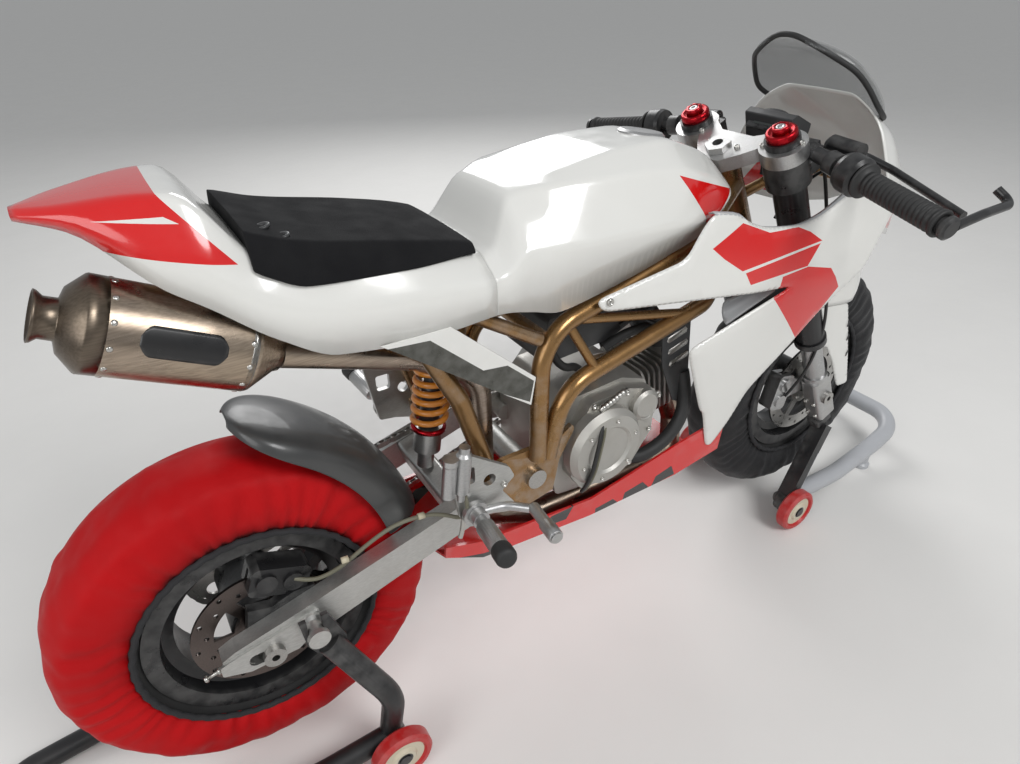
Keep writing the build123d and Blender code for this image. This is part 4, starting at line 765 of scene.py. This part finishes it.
def addRearGuard():
    facts = rearGuardFacts
    section = [(-y, down) for y, down in reversed(facts["section"][1:])] + facts["section"]
    first, last = radians(facts["from"]), radians(facts["to"])
    points = []
    for share in spread(0, 1, facts["lengths"]):
        angle = first + (last - first) * share
        tip = max(0, (share - facts["tipStart"]) / facts["tipLength"]) ** facts["tipPower"]
        narrow = sqrt(max(0.06, 1 - tip))
        depth = (facts["depth"] - (facts["depth"] - facts["tipDepth"]) * share) * (0.25 + 0.75 * narrow)
        for y, down in section:
            half = facts["right" if y < 0 else "left"] * narrow
            reach = facts["radius"] - down * depth - (1 - narrow) * facts["tipDrop"]
            aside = y * half - facts["tipShift"] * (1 - narrow)
            points.append(facts["middle"] + Vector((reach * cos(angle), aside, reach * sin(angle))))
    guard = addPiece("rearGuard", points, gridFaces(facts["lengths"] + 1, len(section)), "chassis", "carbonGuard",
                     "dark_plastic", ["rear_mudguard"])
    addModifier(guard, "SUBSURF", levels=2, render_levels=2)
    thicken(guard, facts["wall"])


addFrontGuard()
addRearGuard()
print("stage: panels and guards")


# tyre warmers, padded jackets gathered at a hem on each side

warmerFacts = {
    "rear": {"axle": rearAxle, "right": 73, "left": 63.5, "hem": 65, "hemLeft": 63.0, "seed": 3.1, "fold": 4.4,
             "leftRoom": 1.6, "finish": "redCloth", "slot": "red_cloth"},
    "front": {"axle": frontAxle, "right": 58, "left": 58, "hem": 51, "hemLeft": 51, "seed": 8.7, "fold": 4.6,
              "leftRoom": 6, "finish": "blackCloth", "slot": "black_cloth"},
}
jacketFacts = {"hemRadius": 150, "wallRadius": 186, "shoulder": 226, "crown": 244, "steps": 300, "gathers": 46,
               "gatherDepth": 3.4, "hemShare": 0.30, "hemRoom": 6.2, "moreRoom": 3.5, "cloth": 1.6, "reach": 14,
               "hemBand": (3.6, 4.4), "hemWave": 0.006}


def addWarmer(name):
    facts, jacketOf = warmerFacts[name], jacketFacts
    hem, wall, shoulder, crown, steps, gathers = (
        jacketOf[key] for key in ("hemRadius", "wallRadius", "shoulder", "crown", "steps", "gathers"))
    right, left, seed = facts["right"], facts["left"], facts["seed"]
    line = rounded([(-facts["hem"], hem), (-right + 1, wall), (-right + 9, shoulder), (-right * 0.45, crown - 1),
                    (0, crown), (left * 0.45, crown - 1), (left - 9, shoulder), (left - 1, wall),
                    (facts["hemLeft"], hem)], jacketOf["reach"], 6)
    count = len(line)
    points = []
    for j, p in enumerate(line):
        share = j / (count - 1)
        nearHem = max(0, 1 - min(share, 1 - share) / jacketOf["hemShare"])
        room = jacketOf["hemRoom"] + jacketOf["moreRoom"] * (1 - nearHem)
        leftward = max(0, min(1, (p.x / left - 0.3) / 0.4))
        ahead, behind = line[min(count - 1, j + 1)], line[max(0, j - 1)]
        out = Vector((ahead.y - behind.y, behind.x - ahead.x)).normalized()
        if out.dot(p - Vector((0, wall))) < 0:
            out = -out
        for angle in anglesRound(steps):
            around = Vector((cos(angle), sin(angle), 0))
            slow = noise.noise(around * 2.3 + Vector((0, 0, seed + share * 1.4)))
            quick = noise.noise(around * 9 + Vector((seed, 0, share * 2.6)))
            crease = abs(noise.noise(around * 5 + Vector((0, seed, share * 5))))
            pleat = sin(gathers * angle + 11 * slow + 2 * share)
            gather = max(0.15, 0.55 + 1.3 * noise.noise(around * 4 + Vector((share, seed, 0))))
            depth = 1 + facts["fold"] * (0.35 + 0.5 * quick + 0.9 * (0.5 - crease))
            depth += nearHem * jacketOf["gatherDepth"] * gather * (1 + pleat)
            depth = max(0, min(depth, room + (facts["leftRoom"] - room) * leftward))
            y, radius = p.x - out.x * depth, p.y - out.y * depth
            points.append(facts["axle"] + Vector((radius * cos(angle), y, radius * sin(angle))))
    jacket = addPiece(name + "Warmer", points, gridFaces(count, steps, True), name + "_wheel", facts["finish"],
                      facts["slot"], [name + "_tyre_warmer"])
    thicken(jacket, jacketOf["cloth"])
    hems = Heap()
    halfWidth, halfHeight = jacketOf["hemBand"]
    ring = [(halfWidth * cos(a), hem + 1 + halfHeight * sin(a)) for a in anglesRound(8)]
    for hemY in (-facts["hem"] + 1.5, facts["hemLeft"] - 1.5):
        hems.ringLathe(facts["axle"] + Vector((0, hemY, 0)), (0, 1, 0), ring, 150,
                       lambda angle, distance: 1 + jacketOf["hemWave"] * sin(gathers * angle))
    band = hems.piece(name + "WarmerHems", name + "_wheel", "elastic", facts["slot"])
    cut = sum((b - a).length for a, b in zip(line, line[1:])) * mm


for name in warmerFacts:
    addWarmer(name)
print("stage: warmers")


# silencer with its riveted sleeve, end cone and blank badge

silencerFacts = {
    "front": fromRear(92, -62, 656), "angle": 26, "radius": 46, "steps": 72, "bands": (37, 170), "bandWidth": 6,
    "rivetRows": (43, 164), "rivets": 12, "rivet": [(0, 3), (1, 3), (1.8, 2.2), (2.1, 1)],
    "sleeve": [(2.3, 20), (8, 22), (33, 44.6), (35, 45.4), (38, 46), (172, 46), (174, 45.2), (178, 45.2)],
    "cone": [(168, 45.2), (168, 46.1), (183, 46.1), (185, 45), (199, 30.5), (202, 20), (203, 19.4), (214, 19.2),
             (219, 23.2), (221.5, 24), (222, 22.8), (214, 17.2), (150, 16.5), (150, 30)],
    "badge": {"from": 66, "to": 142, "turn": 12, "halfTurn": 19, "long": 25, "wide": 9},
}


def addSilencer():
    start, radius, steps, badgeOf = (silencerFacts[key] for key in ("front", "radius", "steps", "badge"))
    angle = radians(silencerFacts["angle"])
    along = Vector((-cos(angle), 0, sin(angle)))
    sleeve, cone, rivets = Heap(), Heap(), Heap()
    sleeve.lathe(start, along, silencerFacts["sleeve"], steps)
    sleeve.piece("silencerSleeve", "chassis", "titanium", "titanium", ["silencer"])
    cone.ringLathe(start, along, silencerFacts["cone"], steps)
    cone.piece("silencerEndCone", "chassis", "darkTitanium", "titanium")
    axis, across, third = framed(along)
    for distance in silencerFacts["rivetRows"]:
        for k in range(silencerFacts["rivets"]):
            turn = 2 * pi * (k + 0.5) / silencerFacts["rivets"]
            out = across * cos(turn) + third * sin(turn)
            rivets.lathe(start + axis * distance + out * (radius - 1), out, silencerFacts["rivet"], 12)
    for near in silencerFacts["bands"]:
        far = near + silencerFacts["bandWidth"]
        rivets.ringLathe(start, along, [(near, radius - 1), (near, radius), (far, radius), (far, radius - 1)], steps)
    rivets.piece("silencerRivets", "chassis", "boltSteel", "steel")
    first, last, long, wide = (badgeOf[key] for key in ("from", "to", "long", "wide"))
    up = Vector((along.z, 0, -along.x))
    points = []
    for lift in (radius - 0.4, radius + 0.1):
        for share in spread(0, 1, long - 1):
            pinch = 1 - max(0, abs(share - 0.5) * 2 - 0.72) ** 2 * 9
            for b in spread(-1, 1, wide - 1):
                turn = radians(badgeOf["turn"]) + radians(badgeOf["halfTurn"]) * b * pinch
                out = Vector((0, -1, 0)) * cos(turn) + up * sin(turn)
                points.append(start + along * (first + (last - first) * share) + out * lift)
    top = long * wide
    rim = list(range(0, top, wide)) + list(range(top - wide + 1, top))
    rim += list(range(top - wide - 1, 0, -wide)) + list(range(wide - 2, 0, -1))
    faces = gridFaces(long, wide, start=top)
    faces += [(a, b, b + top, a + top) for a, b in sidesOf(rim)]
    addPiece("silencerBadge", points, faces, "chassis", "blackPaint", "black_metal")


addSilencer()


# spring, fork caps, grips and chain

springFacts = {"low": fromRear(272, 0, 393.6), "high": fromRear(304, 0, 590), "from": 63, "to": 165, "turns": 6.5,
               "radius": 23.4, "wire": 4.4, "steps": 15, "ring": [(54, 10), (54, 25), (59.5, 25), (59.5, 10)],
               "sleeve": [(60, 14), (120, 14), (122, 12), (160, 12)]}


def addSpring():
    low, radius = springFacts["low"], springFacts["radius"]
    axis, across, third = framed(springFacts["high"] - low)
    points, steps = [], springFacts["steps"]
    total = int(springFacts["turns"] * steps)
    for k in range(total + 1):
        share, turn = k / total, 2 * pi * k / steps
        eased = share + 0.02 * sin(2 * pi * share)
        distance = springFacts["from"] + (springFacts["to"] - springFacts["from"]) * eased
        points.append(low + axis * distance + (across * cos(turn) + third * sin(turn)) * radius)
    addTube("shockCoil", points, springFacts["wire"], "chassis", "spring", "spring_paint", ["shock_spring"])
    rings, body = Heap(), Heap()
    rings.ringLathe(low, axis, springFacts["ring"], 40,
                    lambda angle, distance: 1 + 0.02 * (sin(20 * angle) > 0.2))
    rings.piece("shockPreloadRing", "chassis", "redAnodised", "red_anodised")
    body.lathe(low, axis, springFacts["sleeve"], 32)
    body.piece("shockBodySleeve", "chassis", "darkPlastic", "dark_plastic")


capFacts = {"y": 84, "height": 580, "knurls": 32,
            "rim": [(0, 21.4), (1, 22), (9, 22), (11, 20.5), (11.6, 17), (10, 15), (10, 12)],
            "hexagon": [(0, 13.6), (8, 13.6), (9.2, 12.6), (9.2, 8), (7, 7.6)],
            "screw": [(0, 7), (2.4, 7), (3, 6.2), (3, 2.2), (1.2, 1.8)]}


def addForkCaps():
    caps, screws = Heap(), Heap()
    for side in (-1, 1):
        spot = forkPoint(0, side * capFacts["y"], capFacts["height"])
        caps.lathe(spot, forkUp, capFacts["rim"], 96,
                   lambda angle, at: 1 - 0.03 * (sin(capFacts["knurls"] * angle) > 0.3) * (1 < at < 9.5))
        caps.lathe(spot + forkUp * 9, forkUp, capFacts["hexagon"], 6)
        screws.lathe(spot + forkUp * 15, forkUp, capFacts["screw"], 24)
    caps.piece("forkTopCaps", "fork", "redAnodised", "red_anodised", ["fork_caps"])
    screws.piece("forkAdjusterScrews", "fork", "aluminium", "bare_aluminium")


gripFacts = {"start": 208, "radius": 16.4, "groove": 14.9, "ribs": 15, "firstRib": 10, "pitch": 7.2,
             "flange": [(0, 11.2), (0, 23), (1, 24), (3.4, 24), (4.4, 22), (7, 16)],
             "end": [(120, 14.9), (122, 17.6), (126, 18), (128, 16.8), (128, 11.2)]}


def addGrips():
    grips = Heap()
    radius, groove = gripFacts["radius"], gripFacts["groove"]
    profile = list(gripFacts["flange"])
    for rib in range(gripFacts["ribs"]):
        at = gripFacts["firstRib"] + rib * gripFacts["pitch"]
        profile += [(at, groove), (at + 1, radius), (at + 4.4, radius), (at + 5.4, groove)]
    for side in (-1, 1):
        start = alongBar(gripFacts["start"], side)
        grips.ringLathe(start, alongBar(gripFacts["start"] + 50, side) - start, profile + gripFacts["end"], 40)
    grips.piece("ribbedGrips", "fork", "rubber", "grip_rubber", ["handlebar_grips"])


# the middle and radius of the chain's line round each sprocket
chainFacts = {"rear": (-524, 275.8, 75.0), "front": (-88, 390, 34.0), "y": 72.5, "links": 112, "linkRadius": 4.2,
              "innerY": 2.1, "outerY": 3.3, "plate": 1.0, "pinFrom": -3.9,
              "pin": [(0, 1.8), (1.4, 1.8), (1.4, 3.6), (6.4, 3.6), (6.4, 1.8), (7.8, 1.8)]}


def addChain():
    rear, front = chainFacts["rear"], chainFacts["front"]
    (rx, rz, rr), (fx, fz, fr) = rear, front
    reach, turn = hypot(fx - rx, fz - rz), atan2(fz - rz, fx - rx)
    lean = asin((rr - fr) / reach)
    up, down = turn + pi / 2 - lean, turn - pi / 2 + lean
    run = reach * cos(lean)
    rearArc, frontArc = (down + 2 * pi) - up, up - down

    def onRim(x, z, radius, angle):
        return Vector((x + radius * cos(angle), chainFacts["y"], z + radius * sin(angle)))

    parts = [(rr * rearArc, lambda t: onRim(*rear, up + rearArc * t)),
             (run, lambda t: onRim(*rear, down).lerp(onRim(*front, down), t)),
             (fr * frontArc, lambda t: onRim(*front, down + frontArc * t)),
             (run, lambda t: onRim(*front, up).lerp(onRim(*rear, up), t))]
    total = sum(length for length, place in parts)

    def spotAt(distance):
        distance %= total
        for length, place in parts:
            if distance <= length:
                return place(distance / length)
            distance -= length
        return parts[-1][1](1)

    links = Heap()
    pitch = total / chainFacts["links"]
    for k in range(chainFacts["links"]):
        a, b = spotAt(k * pitch), spotAt((k + 1) * pitch)
        ahead = (b - a).normalized()
        across = Vector((-ahead.z, 0, ahead.x))
        outline = [end + (ahead * cos(angle) * way + across * sin(angle) * way) * chainFacts["linkRadius"]
                   for end, way in ((b, 1), (a, -1)) for angle in spread(pi / 2, -pi / 2, 6)]
        y, thick = chainFacts["outerY" if k % 2 else "innerY"], chainFacts["plate"]
        for lift in (y - thick / 2, -y - thick / 2):
            links.plate([p + Vector((0, lift, 0)) for p in outline], (0, 1, 0), thick, 0.2)
        links.lathe(a + Vector((0, chainFacts["pinFrom"], 0)), (0, 1, 0), chainFacts["pin"], 10)
    links.piece("rollerChain", "chassis", "steel", "steel", ["chain"], smooth=False)


addSpring()
addForkCaps()
addGrips()
addChain()
print("stage: silencer, spring, caps, grips, chain")


# screws on the covers, clamps, plates and panels

def ringOfPlaces(centre, radius, count, y, start=0):
    return [Vector((centre[0] + radius * cos(start + angle), y, centre[1] + radius * sin(start + angle)))
            for angle in anglesRound(count)]


clutchRim = [(472, 430), (492, 466), (553, 468), (604, 450), (604, 384), (569, 333), (485, 322), (464, 355)]
generatorRim = [(488, 430), (512, 456), (588, 446), (600, 383), (562, 336), (494, 330)]
plateRim = [(250, 488), (321, 424), (328, 384), (268, 402)]
screwFacts = {
    # body, radius, height, direction and places
    "clutchScrews": ("chassis", 4.4, 4, (0, -1, 0), flatPath(clutchRim, -105.6)),
    "clutchRingScrews": ("chassis", 3.2, 3, (0, -1, 0), ringOfPlaces((-19, 399), 49, 6, -132.6, 0.3)),
    "generatorScrews": ("chassis", 4.2, 4, (0, 1, 0), flatPath(generatorRim, 103.6)),
    "diskScrewsRear": ("rear_wheel", 4.0, 3, (0, -1, 0), ringOfPlaces((-524, 275.8), 27, 6, -59.6)),
    "diskScrewsFront": ("front_wheel", 4.0, 3, (0, -1, 0), ringOfPlaces((556, 272), 27, 6, -51.6)),
    "sprocketScrews": ("rear_wheel", 4.2, 4, (0, 1, 0), ringOfPlaces((-524, 275.8), 28, 5, 74.2, 0.6)),
    "plateScrews": ("chassis", 4.6, 4, (0, -1, 0), flatPath(plateRim, -137.6)),
    "plateScrewsLeft": ("chassis", 4.6, 4, (0, 1, 0), flatPath(plateRim, 137.6)),
    "yokeScrews": ("fork", 4.2, 4, forkUp,
                   [forkPoint(u, side * y, 569.6) for side in (-1, 1) for u, y in ((-14, 60), (8, 110), (-30, 26))]),
    "clipScrews": ("fork", 4.4, 5, (0.75, -0.62, 0.2), forkPath((46, -90, 516), (46, -86, 532))),
    "footScrews": ("fork", 4.0, 4, (-0.894, 0, -0.446),
                   [forkPoint(-22.6, side * 84 + step, s) for side in (-1, 1) for step in (-9, 9) for s in (-44, -8)]),
    "fairingScrews": ("chassis", 5, 1.4, (0, -1, 0.05), [Vector((-32, -125.5, 636))]),
    "fairingScrewsLeft": ("chassis", 5, 1.4, (0, 1, 0.05), [Vector((-32, 125.5, 636))]),
    "capScrews": ("chassis", 2.6, 1.6, (0.16, 0, 1),
                  [Vector((106, 0, 796)) + Vector((0.1583, 0, 0.9874)) * 9.7
                   + Vector((0.987 * 27 * cos(k), 27 * sin(k), -0.158 * 27 * cos(k)))
                   for k in anglesRound(6)]),
}
for name, (body, radius, height, way, places) in screwFacts.items():
    screws = Heap()
    for spot in places:
        screws.bolt(spot, way, radius, height)
    screws.piece(name, body, "boltSteel", "steel")
print("stage: screws")


# hoses and cables, each held at both ends

loom = [(560, 70, 560), (600, 84, 588), (660, 74, 600), (710, 54, 612), (748, 36, 640)]
hoseFacts = {
    # body, finish, radius and places
    "rearBrakeHose": ("chassis", "hose", 2.8, rearPath(
        (258, -148.3, 440), (262, -150, 420), (262, -128, 384), (248, -108, 382), (226, -100, 388.1), (183.5, -98, 392),
        (148.7, -96, 379), (119.6, -95, 363), (94, -92, 349), (66, -84, 341), (48, -78, 352))),
    "frontBrakeHose": ("fork", "cableSheath", 2.8, [alongBar(110, -1, 8, 48), alongBar(96, -1, 10, 66)] + forkPath(
        (60, -98, 530), (56, -100, 440), (34, -108, 330), (22, -110, 240), (6, -108, 180), (-26, -96, 110),
        (-60, -76, 60), (-66, -62, 36))),
    "clutchCable": ("fork", "cableSheath", 2.6, [alongBar(108, 1, 6, 46), alongBar(101, 1, 2, 58)] + forkPath(
        (42, 106, 530), (36, 84, 490), (26, 52, 455), (14, 34, 420))),
    "throttleCable": ("fork", "cableSheath", 2.6, [alongBar(192, -1, -16, 16), alongBar(170, -1, -20, 34)] + forkPath(
        (70, -118, 500), (56, -74, 470), (30, -46, 440), (12, -34, 410))),
    "frameLoomRight": ("chassis", "cableSheath", 4.0, rearPath(*((x, -y, z) for x, y, z in loom))),
    "frameLoomLeft": ("chassis", "cableSheath", 4.0, rearPath(*loom)),
    "breatherHose": ("chassis", "rubber", 6.0, rearPath(
        (520, -40, 478), (505, -46, 500), (470, -60, 512), (452, -52, 540), (456, -44, 560))),
    "coolantHose": ("chassis", "rubber", 11, rearPath(
        (566, -80, 330), (590, -94, 322), (624, -101, 330), (660, -103, 350), (684, -100, 380), (690, -92, 420),
        (686, -84, 452))),
    "clutchCablePair": ("chassis", "cableSheath", 3, rearPath(
        (497, -116, 462), (490, -132, 450), (476, -140.5, 414), (466, -139, 360), (462, -126, 336))),
    "clutchCableLight": ("chassis", "hose", 2.2, rearPath(
        (502, -114, 462), (496, -132, 449), (482, -140.5, 412), (472, -139, 360), (468, -126, 336))),
    "brakeSwitchSpring": ("chassis", "boltSteel", 3.4, rearPath((258, -141, 398), (256, -141, 380), (252, -140, 366))),
    "throttleBodyHose": ("chassis", "rubber", 7, rearPath(
        (548, -52, 520), (570, -60, 536), (606, -62, 540), (640, -54, 532), (660, -40, 520))),
    "plugLead": ("chassis", "cableSheath", 3.4, rearPath(
        (706, -44, 470), (700, -66, 500), (668, -74, 520), (630, -66, 545), (600, -50, 560))),
}
for name, (body, finish, radius, places) in hoseFacts.items():
    addTube(name, places, radius, body, finish, "dark_plastic")
clamps = Heap()
for x, y, z in ((221, -100, 389.1), (114.6, -95, 364)):
    clamps.lathe(fromRear(x, y, z), (-1, 0.05, 0.05), [(0, 4.4), (9, 4.4)], 20)
clamps.piece("hoseClamps", "chassis", "creamPlastic", "bare_aluminium")
print("stage: hoses")


# instruments

dashFacts = {"middle": fromRear(905, 0, 783), "tilt": 52, "archHeight": 22, "halfWidth": 40, "foot": 14,
             "glass": [(28, -8), (28, 9), (-28, 9), (-28, -8)], "buttons": [(-18, -11), (0, -11), (18, -11)]}


def addDash():
    tilt, half = radians(dashFacts["tilt"]), dashFacts["halfWidth"]
    face = Vector((-sin(tilt), 0, cos(tilt)))
    upward = Vector((cos(tilt), 0, sin(tilt)))
    middle = dashFacts["middle"] + face * 8
    outline = [(half * cos(a), dashFacts["archHeight"] * sin(a)) for a in spread(0, pi, 18)]
    outline += [(-half, -dashFacts["foot"]), (half, -dashFacts["foot"])]

    def onFace(spots, lift):
        return [middle + face * lift + upward * z + Vector((0, y, 0)) for y, z in spots]

    hood, glass, buttons = Heap(), Heap(), Heap()
    hood.plate(onFace(outline, 0), face, 5, 1.6)
    glass.plate(onFace(dashFacts["glass"], 4.2), face, 1.4, 0.5)
    for spot in onFace(dashFacts["buttons"], 4):
        buttons.lathe(spot, face, [(0, 3), (2, 3), (2.6, 2.2)], 16)
    hood.piece("dashFace", "chassis", "darkPlastic", "dark_plastic")
    glass.piece("dashGlass", "chassis", "displayGlass", "dark_plastic", smooth=False)
    buttons.piece("dashButtons", "chassis", "rubber", "dark_plastic")


addDash()


# engine fittings, controls and plates

engineFacts = {
    "roller": (fromRear(494, -117, 464), fromRear(552, -106, 474)),
    "rings": range(0, 49, 7), "ring": [(4, 4.4), (5, 5.6), (9.4, 5.6), (10.4, 4.4)],
    "cup": (fromRear(598, -100, 426), 26), "cupEars": (0.5, 2.6, 4.7),
    "plate": [(636, 478), (629, 528), (684, 546), (694, 456), (684, 396), (668, 404), (652, 440)],
    "plateY": -86, "louvre": [(0, -1), (1, -1), (1.08, 0), (1, 1), (0, 1), (-0.08, 0)],
}


def addEngineDetails():
    metal, black, bright = Heap(), Heap(), Heap()
    low, high = engineFacts["roller"]
    profile = [(at + step, radius) for at in engineFacts["rings"] for step, radius in engineFacts["ring"]]
    bright.lathe(low, high - low, [(0, 3), *profile, (56, 3), (60, 3)], 24)
    cup, size = engineFacts["cup"]
    metal.ringLathe(cup + Vector((0, 6, 0)), (0.12, -1, 0.10), [
        (-10, size - 8), (-10, size + 1), (2, size + 1), (9, size - 1), (11, size - 3), (11, size - 6), (1, size - 7),
        (-2, 3), (-10, 3)], 48)
    for turn in engineFacts["cupEars"]:
        ear = cup + Vector((size * cos(turn), 3, size * sin(turn)))
        metal.lathe(ear, (0, -1, 0), [(0, 6), (5, 6), (6, 5)], 16)
        bright.bolt(ear - Vector((0, 6, 0)), (0, -1, 0), 3.4, 3)
    plateY = engineFacts["plateY"]
    for side in (1, -1):
        black.plate(flatPath(engineFacts["plate"], side * plateY), (0, -side, 0), 3, 0.6)
    for k in range(3):
        bright.plate([fromRear(642 + 5 * k + 34 * a - 1.5 * b, plateY - 3.1, 520 - 22 * k + 10 * a + 5 * b)
                      for a, b in engineFacts["louvre"]], (0, -1, 0), 0.5, 0.1)
    metal.piece("engineCastings", "chassis", "castMetal", "cast_metal")
    black.piece("radiatorPlates", "chassis", "darkPlastic", "dark_plastic", smooth=False)
    bright.piece("engineFittings", "chassis", "boltSteel", "steel")


# the bolts behind the axle plates that draw the chain tight
adjusterFacts = {"place": (-54, 100, 279), "axis": (-0.976, 0, -0.217), "shaft": 26, "nutAt": 8.5, "headAt": 25}


def addAdjusters():
    bolts, axis = Heap(), Vector(adjusterFacts["axis"]).normalized()
    x, y, z = adjusterFacts["place"]
    for side in (-1, 1):
        start = fromRear(x, side * y, z)
        bolts.lathe(start, axis, [(0, 2.3), (adjusterFacts["shaft"], 2.3)], 16)
        bolts.lathe(start + axis * adjusterFacts["nutAt"], axis, [(0, 4.8), (3.4, 4.8)], 6)
        bolts.lathe(start + axis * adjusterFacts["headAt"], axis, [(-0.5, 4.4), (3, 4.4), (3.6, 3.6)], 6)
    bolts.piece("adjusterBolts", "chassis", "boltSteel", "steel")


pegFacts = {
    # place, direction with the side's sign in the middle, profile, steps, knurls and the knurled stretch
    "foot": ((272, 156, 404), (-0.18, 1, 0.22), [(26, 9), (26, 11.4), (27, 12), (80, 12), (81, 11.4), (81, 9)],
             104, 26, 26.5, 80.5),
    "toe": ((342, 176, 402), (-0.1, 1, 0), [(34, 7), (34, 9), (35, 9.6), (61, 9.6), (62, 9), (62, 7)],
            72, 18, 34.5, 61.5),
    "depth": 0.035, "end": [(0, 12.6), (3, 13.4), (18, 13.4), (22, 12), (24, 9)],
}


def addPegs():
    sleeves, ends = Heap(), Heap()
    for side in (-1, 1):
        for kind in ("foot", "toe"):
            (x, y, z), (ax, ay, az), profile, steps, knurls, low, high = pegFacts[kind]
            start, axis = fromRear(x, side * y, z), Vector((ax, side * ay, az)).normalized()
            sleeves.ringLathe(start, axis, profile, steps, lambda angle, distance: (
                1 + pegFacts["depth"] * (sin(knurls * angle) > 0) * (low < distance < high)))
            if kind == "foot":
                ends.lathe(start + axis * profile[-1][0], axis, pegFacts["end"], 32)
    sleeves.piece("pegSleeves", "chassis", "aluminium", "bare_aluminium")
    ends.piece("pegEnds", "chassis", "rubber", "grip_rubber")


def addVents():
    vents = Heap()
    for place in padFacts["vents"]:
        vents.ringLathe(fromRear(*place), (-0.2, 0, 1), [(-1, 3), (-1, 8), (1.6, 8), (2.2, 7), (2.2, 5), (0.4, 3)], 24)
    vents.piece("padVents", "chassis", "darkPlastic", "foam")


# the half round intake in each fairing's opening, from its front to its rear end
scoopFacts = {"x": (812, 734), "y": (131, 115), "z": (586, 552), "reach": (10, 20), "lengths": 12, "wall": 2}


def addScoop(side, hand):
    points = []
    for share in spread(0, 1, scoopFacts["lengths"]):
        x, y, z, reach = (a + (b - a) * share for a, b in (scoopFacts[key] for key in ("x", "y", "z", "reach")))
        points += [fromRear(x + 6 * cos(turn), side * (y - reach * 0.9 * cos(turn)), z + reach * sin(turn))
                   for turn in spread(-pi / 2, pi / 2, 8)]
    thicken(addPiece("fairingScoop" + hand, points, gridFaces(scoopFacts["lengths"] + 1, 9), "chassis", "greyPaint",
                     "white_paint"), scoopFacts["wall"], 0)


addEngineDetails()
addAdjusters()
addPegs()
addVents()
for side, hand in hands:
    addScoop(side, hand)
print("stage: engine, pegs and plates")


# floor and room

roomFacts = {"half": 30, "air": (0.82, 0.84, 0.86, 1), "strength": 0.5}


def addRoom():
    half = roomFacts["half"]
    mesh = bpy.data.meshes.new("floor")
    mesh.from_pydata([(-half, -half, 0), (half, -half, 0), (half, half, 0), (-half, half, 0)], [], [(0, 1, 2, 3)])
    mesh.materials.append(finishes["floorPaint"])
    floor = bpy.data.objects.new("floor", mesh)
    scene.collection.objects.link(floor)
    world = bpy.data.worlds.new("room")
    world.use_nodes = True
    background = world.node_tree.nodes["Background"]
    background.inputs["Color"].default_value = roomFacts["air"]
    background.inputs["Strength"].default_value = roomFacts["strength"]
    scene.world = world


addRoom()
print("stage: room")
